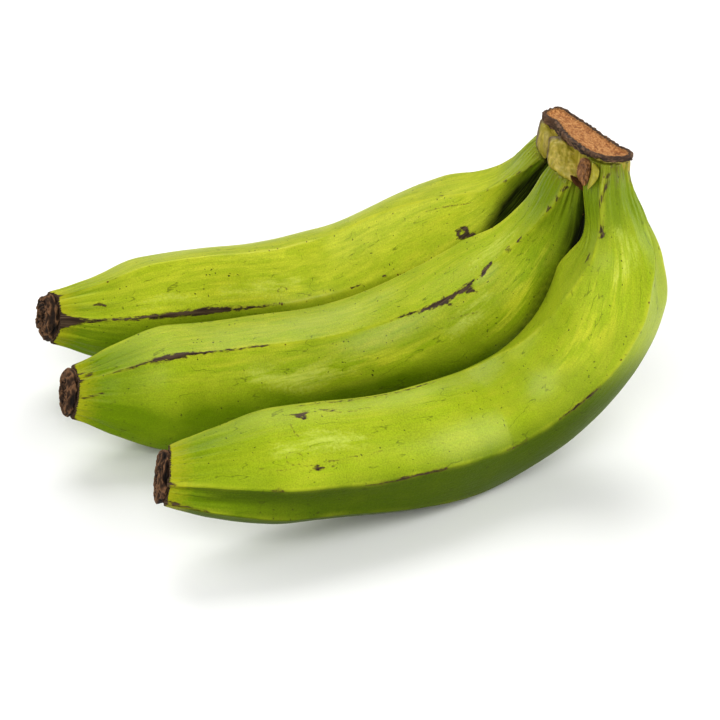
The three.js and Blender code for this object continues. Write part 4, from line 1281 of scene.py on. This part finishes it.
# How much the pattern is squeezed along and across the crown, on the rim and on the face.
RIM_SQUEEZE, FACE_SQUEEZE = np.array([0.2, 0.4]), np.array([0.42, 1.0])
RIM_WORN, FACE_WORN = 0.75, 0.5
SLAB_FOLDS, SLAB_PITS = (1.1, 0.6), (4.5, 0.3)
points = points_of(slab) / MM
inside = way_to(outline, points[:, :2])
top_side = ease(CROWN_TOP - 1.2, CROWN_TOP - 0.3, points[:, 2])
face = ease(FACE_FROM, FACE_FULL, inside) * top_side
lip = LIP_HEIGHT * np.exp(-((inside - LIP_INSIDE) / LIP_WIDTH) ** 2)
points[:, 2] += top_side * (lip - SUNK_DEPTH * ease(SUNK_FROM, SUNK_FULL, inside))
slab.vertices.foreach_set("co", (points * MM).ravel())
crown_axes = np.array([CROWN_HEADING, (CROWN_HEADING[1], -CROWN_HEADING[0])])
squeeze = RIM_SQUEEZE + (FACE_SQUEEZE - RIM_SQUEEZE) * face[:, None]
laid_flat = points[:, :2] @ crown_axes.T * squeeze
attribute(slab, "place", np.column_stack([laid_flat, points[:, 2]]) * MM, "FLOAT_VECTOR")
attribute(slab, "worn", RIM_WORN + (FACE_WORN - RIM_WORN) * face)
attribute(slab, "face", face)
cut_wood = bpy.data.materials.new("cut_crown_fibre")
crown_slab = weathered("crown_cut", slab, SLAB_FOLDS, SLAB_PITS, cut_wood)
print("cut crown:", len(crown_slab.data.polygons), "faces")

# %% [markdown]
# ## Cut fibre and dried rim
# Freshly cut crown tissue dries to a tan, silky fibre. Its colour follows the height of the torn surface: the
# raised curls are paler, a painted highlight, and the low places darker, a painted shade. Its rim is dead
# skin, almost black with grey-brown streaks that come up paler where the rim stands higher, the same painted
# highlight. One material holds both, because the border between them is ragged and follows no edge of the
# mesh.

# %% Material: cut crown
CUT = {
    "deep": "#7C4E22", "fibre": "#A46E38", "bright": "#D5AA6F",
    "rim": "#2C1E14", "rim brown": "#523823", "rim streak": "#84664A",
}
CURL, RIM_PATCH = 0.8 * MM, 3.5 * MM
cut_wood.use_nodes = True
tree = cut_wood.node_tree
shader = tree.nodes["Principled BSDF"]
raised = add(tree, "ShaderNodeAttribute", attribute_name="raised").outputs["Fac"]
face_share = add(tree, "ShaderNodeAttribute", attribute_name="face").outputs["Fac"]
place = add(tree, "ShaderNodeAttribute", attribute_name="place").outputs["Vector"]
curls = add(tree, "ShaderNodeTexNoise",
            {"Vector": place, "Scale": 1 / CURL, "Detail": 4.0, "Distortion": 1.5})
broad = add(tree, "ShaderNodeTexNoise", {"Vector": place, "Scale": 1 / RIM_PATCH, "Detail": 2.0})
# Painted light and shade: colour follows height, paler on the raised curls and darker in the low places.
lit = add(tree, "ShaderNodeMath", {0: raised, 1: 0.8, 2: curls}, operation="MULTIPLY_ADD")
surfaces = []
# Each surface: its deepest colour, then what drives each layer, from where to where, and how much.
for base, layers in (
    ("rim", ((broad, 0.42, 0.62, 1.0, "rim brown"), (lit, 0.62, 0.95, 0.85, "rim streak"))),
    ("deep", ((lit, 0.34, 0.6, 1.0, "fibre"), (lit, 0.58, 0.95, 0.95, "bright"))),
):
    colour = linear(CUT[base])
    for driver, low, high, most, finish in layers:
        cover = add(tree, "ShaderNodeMapRange", {"Value": driver, 1: low, 2: high, 3: 0.0, 4: most})
        mixed = add(tree, "ShaderNodeMix", {0: cover, 6: colour, 7: linear(CUT[finish])}, data_type="RGBA")
        colour = mixed.outputs[2]
    surfaces.append(colour)
border = add(tree, "ShaderNodeMath", {0: curls, 1: 0.9, 2: face_share}, operation="MULTIPLY_ADD")
border_cover = add(tree, "ShaderNodeMapRange", {"Value": border, 1: 0.75, 2: 0.95, 3: 0.0, 4: 1.0})
both = add(tree, "ShaderNodeMix", {0: border_cover, 6: surfaces[0], 7: surfaces[1]}, data_type="RGBA")
tree.links.new(both.outputs[2], shader.inputs["Base Color"])
shader.inputs["Roughness"].default_value = 0.72
torn = add(tree, "ShaderNodeBump", {"Height": curls, "Distance": 0.35 * MM, "Strength": 0.9})
tree.links.new(torn.outputs[0], shader.inputs["Normal"])
print("cut crown:", len(tree.nodes), "nodes")

# %% [markdown]
# ## Pads under the cut
# Below the cut, two of the necks swell into pale pads of crown tissue. Beside the front neck sit
# a dried bract, shaped like a tooth, and a fresh yellow fold, and two darker scales show further
# in. Each is a pillow: a smooth outline in the upright plane, puffed out to the front and the back.

# %% Outlines of pads, bracts and scales
# Each: outline (mm across, mm up), y of its middle, mm of y for each mm up, mm puffed forward, back.
PADS = {
    "back": ([(77.4, 129.2), (82.6, 129.2), (84.2, 125.2), (82.4, 119.6), (81.0, 117.4), (78.8, 115.6),
              (77.0, 117.4), (75.5, 120.6), (75.8, 123.4), (76.5, 127.0)], 13.0, 0.3, 6.0, 6.5),
    "middle": ([(79.0, 129.6), (83.4, 130.0), (88.6, 127.4), (92.0, 124.4), (92.4, 121.6), (91.4, 118.6),
                (88.2, 116.6), (85.0, 117.4), (81.5, 119.4), (78.5, 121.7), (78.0, 124.1), (78.5, 126.4)],
               -9.5, 0.8, 4.5, 5.0),
}
BRACTS = {
    "dried_bract": ([(89.6, 128.8), (92.8, 128.6), (93.6, 125.0), (92.8, 122.1), (91.0, 119.8),
                     (88.9, 121.8), (88.0, 124.2), (88.7, 126.8)], -25.0, 0.5, 2.8, 3.0),
    "fresh_fold": ([(93.4, 129.2), (96.0, 127.4), (95.8, 124.8), (94.0, 122.2), (91.6, 120.4),
                    (92.4, 123.6), (93.1, 126.0)], -30.0, 0.5, 1.8, 2.5),
}
# Crown tissue in the shade, painted dark: one scale between the two pads, one below the bract.
INNER = {
    "brown_scale": ([(79.0, 121.5), (82.0, 125.0), (85.0, 121.5), (83.6, 117.4), (80.8, 115.6),
                     (79.4, 118.0)], 3.5, 0.0, 2.0, 3.0),
    "torn_scale": ([(86.4, 119.8), (89.0, 119.0), (92.2, 117.4), (92.8, 114.6), (91.4, 115.0),
                    (89.0, 116.6), (87.0, 118.4)], -19.5, 0.6, 1.6, 3.0),
}
print("outlines:", ", ".join((*PADS, *BRACTS, *INNER)))

# %% Puffing the pads
PUFF_ROWS = 56
# A power below one makes a pillow full out to its edge.
PUFF_POWER = 0.62
# Patterns in crown tissue are drawn out upward.
PLACE_SQUEEZE = np.array([1, 1, 0.35])
PAD_FOLDS, PAD_PITS = (4.5, 0.3), (6, 0.1)


def pillow(name, outline, middle_y, lean, front, back):
    """A closed, puffed-out outline; its `edge` is 1 along the outline and 0 at its middle."""
    line = closed_curve(outline)
    heart = line.mean(0)
    swing = np.linspace(-math.pi / 2, math.pi / 2, PUFF_ROWS)[:, None]
    spread = np.cos(swing) ** PUFF_POWER
    puff = np.sin(swing)
    x = heart[0] + (line[:, 0] - heart[0]) * spread
    z = heart[1] + (line[:, 1] - heart[1]) * spread
    y = middle_y + lean * (z - heart[1]) + np.where(puff < 0, puff * front, puff * back)
    mesh = closed_mesh(name, np.stack([x, y, z], -1) * MM)
    mesh.flip_normals()
    here = points_of(mesh)
    attribute(mesh, "place", here * PLACE_SQUEEZE, "FLOAT_VECTOR")
    attribute(mesh, "worn", np.ones(len(here)))
    attribute(mesh, "edge", by_row(np.broadcast_to(spread, x.shape)))
    return mesh


pad_skin = bpy.data.materials.new("crown_pad_skin")
pads = {
    name: weathered(f"crown_pad_{name}", pillow(name, *shape), PAD_FOLDS, PAD_PITS, pad_skin)
    for name, shape in PADS.items()
}
print("pads:", {name: len(piece.data.polygons) for name, piece in pads.items()})

# %% [markdown]
# ## The cushion
# Behind the pads the three necks run into one block of solid tissue. It follows the outline of
# the cut, drawn in a little towards the line through the crown's middle, and it reaches lower
# down in the middle than at its two ends.

# %% Crown cushion
# Its axis under the cut, how much of the axis its ends leave free, and its share of the cut's width.
CUSHION_AXIS = np.array([(82.6, 19.0), (104.4, -25.0)])
AXIS_FREE = 0.06
CUSHION_WIDTH = 0.82
CUSHION_BELOW_CUT = 1.6
# How low it reaches: (mm from the front to the back of the crown, height in mm).
CUSHION_BOTTOMS = [(-29, 125.0), (-22, 122.0), (-17, 118.5), (-8, 116.0), (8, 116.0), (16, 119.0),
                   (23, 124.0)]
CUSHION_VOXEL, CUSHION_SMOOTHING = 0.6 * MM, 14
CUSHION_FOLDS, CUSHION_PITS = (4.5, 0.5), (6, 0.2)
axis_run = CUSHION_AXIS[1] - CUSHION_AXIS[0]
axis_share = (outline - CUSHION_AXIS[0]) @ axis_run / (axis_run @ axis_run)
axis_points = CUSHION_AXIS[0] + np.clip(axis_share, AXIS_FREE, 1 - AXIS_FREE)[:, None] * axis_run
cushion_line = axis_points + CUSHION_WIDTH * (outline - axis_points)
cushion_bottoms = np.interp(cushion_line[:, 1], *zip(*CUSHION_BOTTOMS))
cushion = prism("crown_cushion", cushion_line, CROWN_TOP - CUSHION_BELOW_CUT, cushion_bottoms)
cushion = remeshed("crown_cushion", cushion, CUSHION_VOXEL, CUSHION_SMOOTHING)
attribute(cushion, "place", points_of(cushion) * PLACE_SQUEEZE, "FLOAT_VECTOR")
attribute(cushion, "worn", np.ones(len(cushion.vertices)))
pads["cushion"] = weathered("crown_cushion", cushion, CUSHION_FOLDS, CUSHION_PITS, pad_skin)
print("crown cushion:", len(pads["cushion"].data.polygons), "faces")

# %% [markdown]
# ## Bracts and scales
# A bract is the leaf that once covered a cluster of flowers. What is left of one has dried hard
# and wrinkled, and the fold beside it is still fresh and almost smooth. Both are pillows as the
# pads are, with folds of their own, and so are the two scales that show inside the bunch.

# %% Bracts and inner scales
# Each: the size and depth of its folds, then of its pits, in mm, and its material.
dried_bract_skin = bpy.data.materials.new("dried_bract_skin")
fold_skin = bpy.data.materials.new("fresh_fold_skin")
inner_skin = bpy.data.materials.new("inner_crown_skin")
BRACT_FINISHES = {
    "dried_bract": ((1.6, 0.4), (3, 0.2), dried_bract_skin),
    "fresh_fold": ((1.6, 0.15), (3, 0.05), fold_skin),
}
INNER_FINISH = ((3, 0.3), (6, 0.1), inner_skin)
bracts = {name: weathered(name, pillow(name, *shape), *BRACT_FINISHES[name])
          for name, shape in BRACTS.items()}
inner = {name: weathered(name, pillow(name, *shape), *INNER_FINISH) for name, shape in INNER.items()}
print("bracts:", ", ".join(bracts), "- inner crown:", ", ".join(inner))

# %% [markdown]
# ## Crown skins
# The pads and the cushion keep the same waxy skin as the fruit, but bleached to a pale olive, with brown
# hairlines where it has cracked as it dried. The pads are brown along their edges, a painted shade where they
# meet their neighbours.

# %% Material: pads and cushion
PAD = {"olive": "#998A2A", "pale": "#BBA857", "green": "#868020", "crack": "#5A4420", "brown": "#54401E"}
PAD_STREAK, PAD_CRACK, PAD_PATCH = 1.4 * MM, 2.2 * MM, 6 * MM
pad_skin.use_nodes = True
tree = pad_skin.node_tree
shader = tree.nodes["Principled BSDF"]
here = add(tree, "ShaderNodeTexCoord").outputs["Object"]
upright = add(tree, "ShaderNodeMapping", {"Vector": here, "Scale": (1, 1, 0.3)})
streaks = add(tree, "ShaderNodeTexNoise", {"Vector": upright, "Scale": 1 / PAD_STREAK, "Detail": 3.0})
patches = add(tree, "ShaderNodeTexNoise", {"Vector": here, "Scale": 1 / PAD_PATCH, "Detail": 2.0})
pale_cover = add(tree, "ShaderNodeMapRange", {"Value": streaks, 1: 0.45, 2: 0.7, 3: 0.0, 4: 0.8})
cracks = add(tree, "ShaderNodeTexNoise", {"Vector": upright, "Scale": 1 / PAD_CRACK, "Detail": 4.0})
off_middle = add(tree, "ShaderNodeMath", {0: cracks, 1: 0.5}, operation="SUBTRACT")
crack_way = add(tree, "ShaderNodeMath", {0: off_middle}, operation="ABSOLUTE")
crack_cover = add(tree, "ShaderNodeMapRange", {"Value": crack_way, 1: 0.0, 2: 0.012, 3: 0.55, 4: 0.0})
# Painted shade: brown along the pads' edges.
edge = add(tree, "ShaderNodeAttribute", attribute_name="edge").outputs["Fac"]
rough_edge = add(tree, "ShaderNodeMath", {0: streaks, 1: 0.12, 2: edge}, operation="MULTIPLY_ADD")
edge_shade_cover = add(tree, "ShaderNodeMapRange", {"Value": rough_edge, 1: 0.98, 2: 1.05, 3: 0.0, 4: 0.9})
colour = linear(PAD["green"])
for cover, finish in (
    (patches, "olive"), (pale_cover, "pale"), (crack_cover, "crack"), (edge_shade_cover, "brown"),
):
    mixed = add(tree, "ShaderNodeMix", {0: cover, 6: colour, 7: linear(PAD[finish])}, data_type="RGBA")
    colour = mixed.outputs[2]
tree.links.new(colour, shader.inputs["Base Color"])
shader.inputs["Roughness"].default_value = 0.5
fine = add(tree, "ShaderNodeBump", {"Height": streaks, "Distance": 0.2 * MM, "Strength": 0.7})
tree.links.new(fine.outputs[0], shader.inputs["Normal"])
print("pads and cushion:", len(tree.nodes), "nodes")

# %% Material: inner scales
# Dead skin in the shade is rough, with hardly a highlight. Its dark colours are painted shade, brown above
# and olive-brown further down, turning from one to the other between these heights.
INNER_LOW, INNER_HIGH = 100 * MM, 113 * MM
inner_skin.use_nodes = True
tree = inner_skin.node_tree
shader = tree.nodes["Principled BSDF"]
here = add(tree, "ShaderNodeTexCoord").outputs["Object"]
height = add(tree, "ShaderNodeSeparateXYZ", {0: here}).outputs["Z"]
brown_share = add(tree, "ShaderNodeMapRange", {"Value": height, 1: INNER_LOW, 2: INNER_HIGH})
inner_colour = add(tree, "ShaderNodeMix", {0: brown_share, 6: linear("#3E3A10"), 7: linear("#4A3017")},
                   data_type="RGBA")
tree.links.new(inner_colour.outputs[2], shader.inputs["Base Color"])
shader.inputs["Roughness"].default_value = 0.8
shader.inputs["Specular IOR Level"].default_value = 0.1
print("inner scales:", len(tree.nodes), "nodes")

# %% Material: fresh fold
# A fresh fold is young, waxy tissue: yellow-green with slow changes of tint and a satin sheen.
FOLD_TINT = 2 * MM
fold_skin.use_nodes = True
tree = fold_skin.node_tree
shader = tree.nodes["Principled BSDF"]
here = add(tree, "ShaderNodeTexCoord").outputs["Object"]
tints = add(tree, "ShaderNodeTexNoise", {"Vector": here, "Scale": 1 / FOLD_TINT, "Detail": 2.0})
fold_colour = add(tree, "ShaderNodeMix", {0: tints, 6: linear("#75701A"), 7: linear("#A8A02A")},
                  data_type="RGBA")
tree.links.new(fold_colour.outputs[2], shader.inputs["Base Color"])
shader.inputs["Roughness"].default_value = 0.5
print("fresh fold:", len(tree.nodes), "nodes")

# %% Material: dried bract
# A dried bract is thin dead leaf, like stiff brown paper: darker and paler strips run lengthwise.
BRACT_STRIP = 0.9 * MM
dried_bract_skin.use_nodes = True
tree = dried_bract_skin.node_tree
shader = tree.nodes["Principled BSDF"]
here = add(tree, "ShaderNodeTexCoord").outputs["Object"]
upright = add(tree, "ShaderNodeMapping", {"Vector": here, "Scale": (1, 1, 0.25)})
strips = add(tree, "ShaderNodeTexNoise", {"Vector": upright, "Scale": 1 / BRACT_STRIP, "Detail": 3.0})
strip_cover = add(tree, "ShaderNodeMapRange", {"Value": strips, 1: 0.35, 2: 0.68})
bract_colour = add(tree, "ShaderNodeMix", {0: strip_cover, 6: linear("#5C3A1C"), 7: linear("#946A3C")},
                   data_type="RGBA")
tree.links.new(bract_colour.outputs[2], shader.inputs["Base Color"])
shader.inputs["Roughness"].default_value = 0.6
stripped = add(tree, "ShaderNodeBump", {"Height": strips, "Distance": 0.3 * MM, "Strength": 0.8})
tree.links.new(stripped.outputs[0], shader.inputs["Normal"])
print("dried bract:", len(tree.nodes), "nodes")

# %% [markdown]
# ## Table and light
# The hand lies on a white table among four wide, soft lights. The strongest is in front, and the
# others are behind and at both sides, so the shadows are pale and have soft edges.

# %% Table
FLOOR_SIZE = 6.0
bpy.ops.mesh.primitive_plane_add(size=FLOOR_SIZE)
floor = bpy.context.object
floor.name = "white_table"
paper = bpy.data.materials.new("white_table_paper")
paper.use_nodes = True
shader = paper.node_tree.nodes["Principled BSDF"]
shader.inputs["Base Color"].default_value = linear("#E7E7E7")
shader.inputs["Roughness"].default_value = 0.9
floor.data.materials.append(paper)
print("table:", FLOOR_SIZE, "m wide")

# %% Lights
LIGHTS = (
    # name, place, size, watts
    ("top_back_softbox", (-0.1, 0.8, 1.15), 1.1, 13),
    ("front_softbox", (-0.3, -1.35, 0.8), 1.0, 22),
    ("right_softbox", (1.3, -0.1, 0.5), 0.9, 15),
    ("left_softbox", (-1.2, 0.2, 0.8), 0.9, 6),
)
LIGHT_AIM = Vector((0, 0, 0.03))
for label, place, size, watts in LIGHTS:
    lamp = bpy.data.lights.new(label, "AREA")
    lamp.shape = "SQUARE"
    lamp.size = size
    lamp.energy = watts
    light = bpy.data.objects.new(label, lamp)
    bpy.context.collection.objects.link(light)
    light.location = place
    light.rotation_euler = (LIGHT_AIM - light.location).to_track_quat("-Z", "Y").to_euler()

# The plain view transform keeps white white, and the gamma deepens the middle tones.
bpy.context.scene.view_settings.view_transform = "Standard"
bpy.context.scene.view_settings.gamma = 0.8
world = bpy.data.worlds.new("studio")
bpy.context.scene.world = world
world.use_nodes = True
background = world.node_tree.nodes["Background"]
background.inputs["Color"].default_value = (1, 1, 1, 1)
background.inputs["Strength"].default_value = 0.3
print("lights:", ", ".join(label for label, *_ in LIGHTS))

# %% [markdown]
# ## Fit to the frame
# Every piece rides on the one body of the frame and takes the place of the frame's part it dresses. The table
# also lists which of the frame's materials each piece stands for.

# %% Fit to the frame
FITTED = (
    *((piece, f"finger_{name}", "green_skin") for name, piece in fingers.items()),
    *((piece, f"flower_end_{name}", "dried_flower") for name, piece in buttons.items()),
    (crown_slab, "crown", "crown_wood"),
    *((piece, "crown", "green_skin") for piece in (*pads.values(), *inner.values())),
    (bracts["dried_bract"], "crown", "dried_flower"),
    (bracts["fresh_fold"], "crown", "green_skin"),
)
for piece, part, slot in FITTED:
    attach(piece, "root")
    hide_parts(part)
print("fitted:", len(FITTED), "pieces")
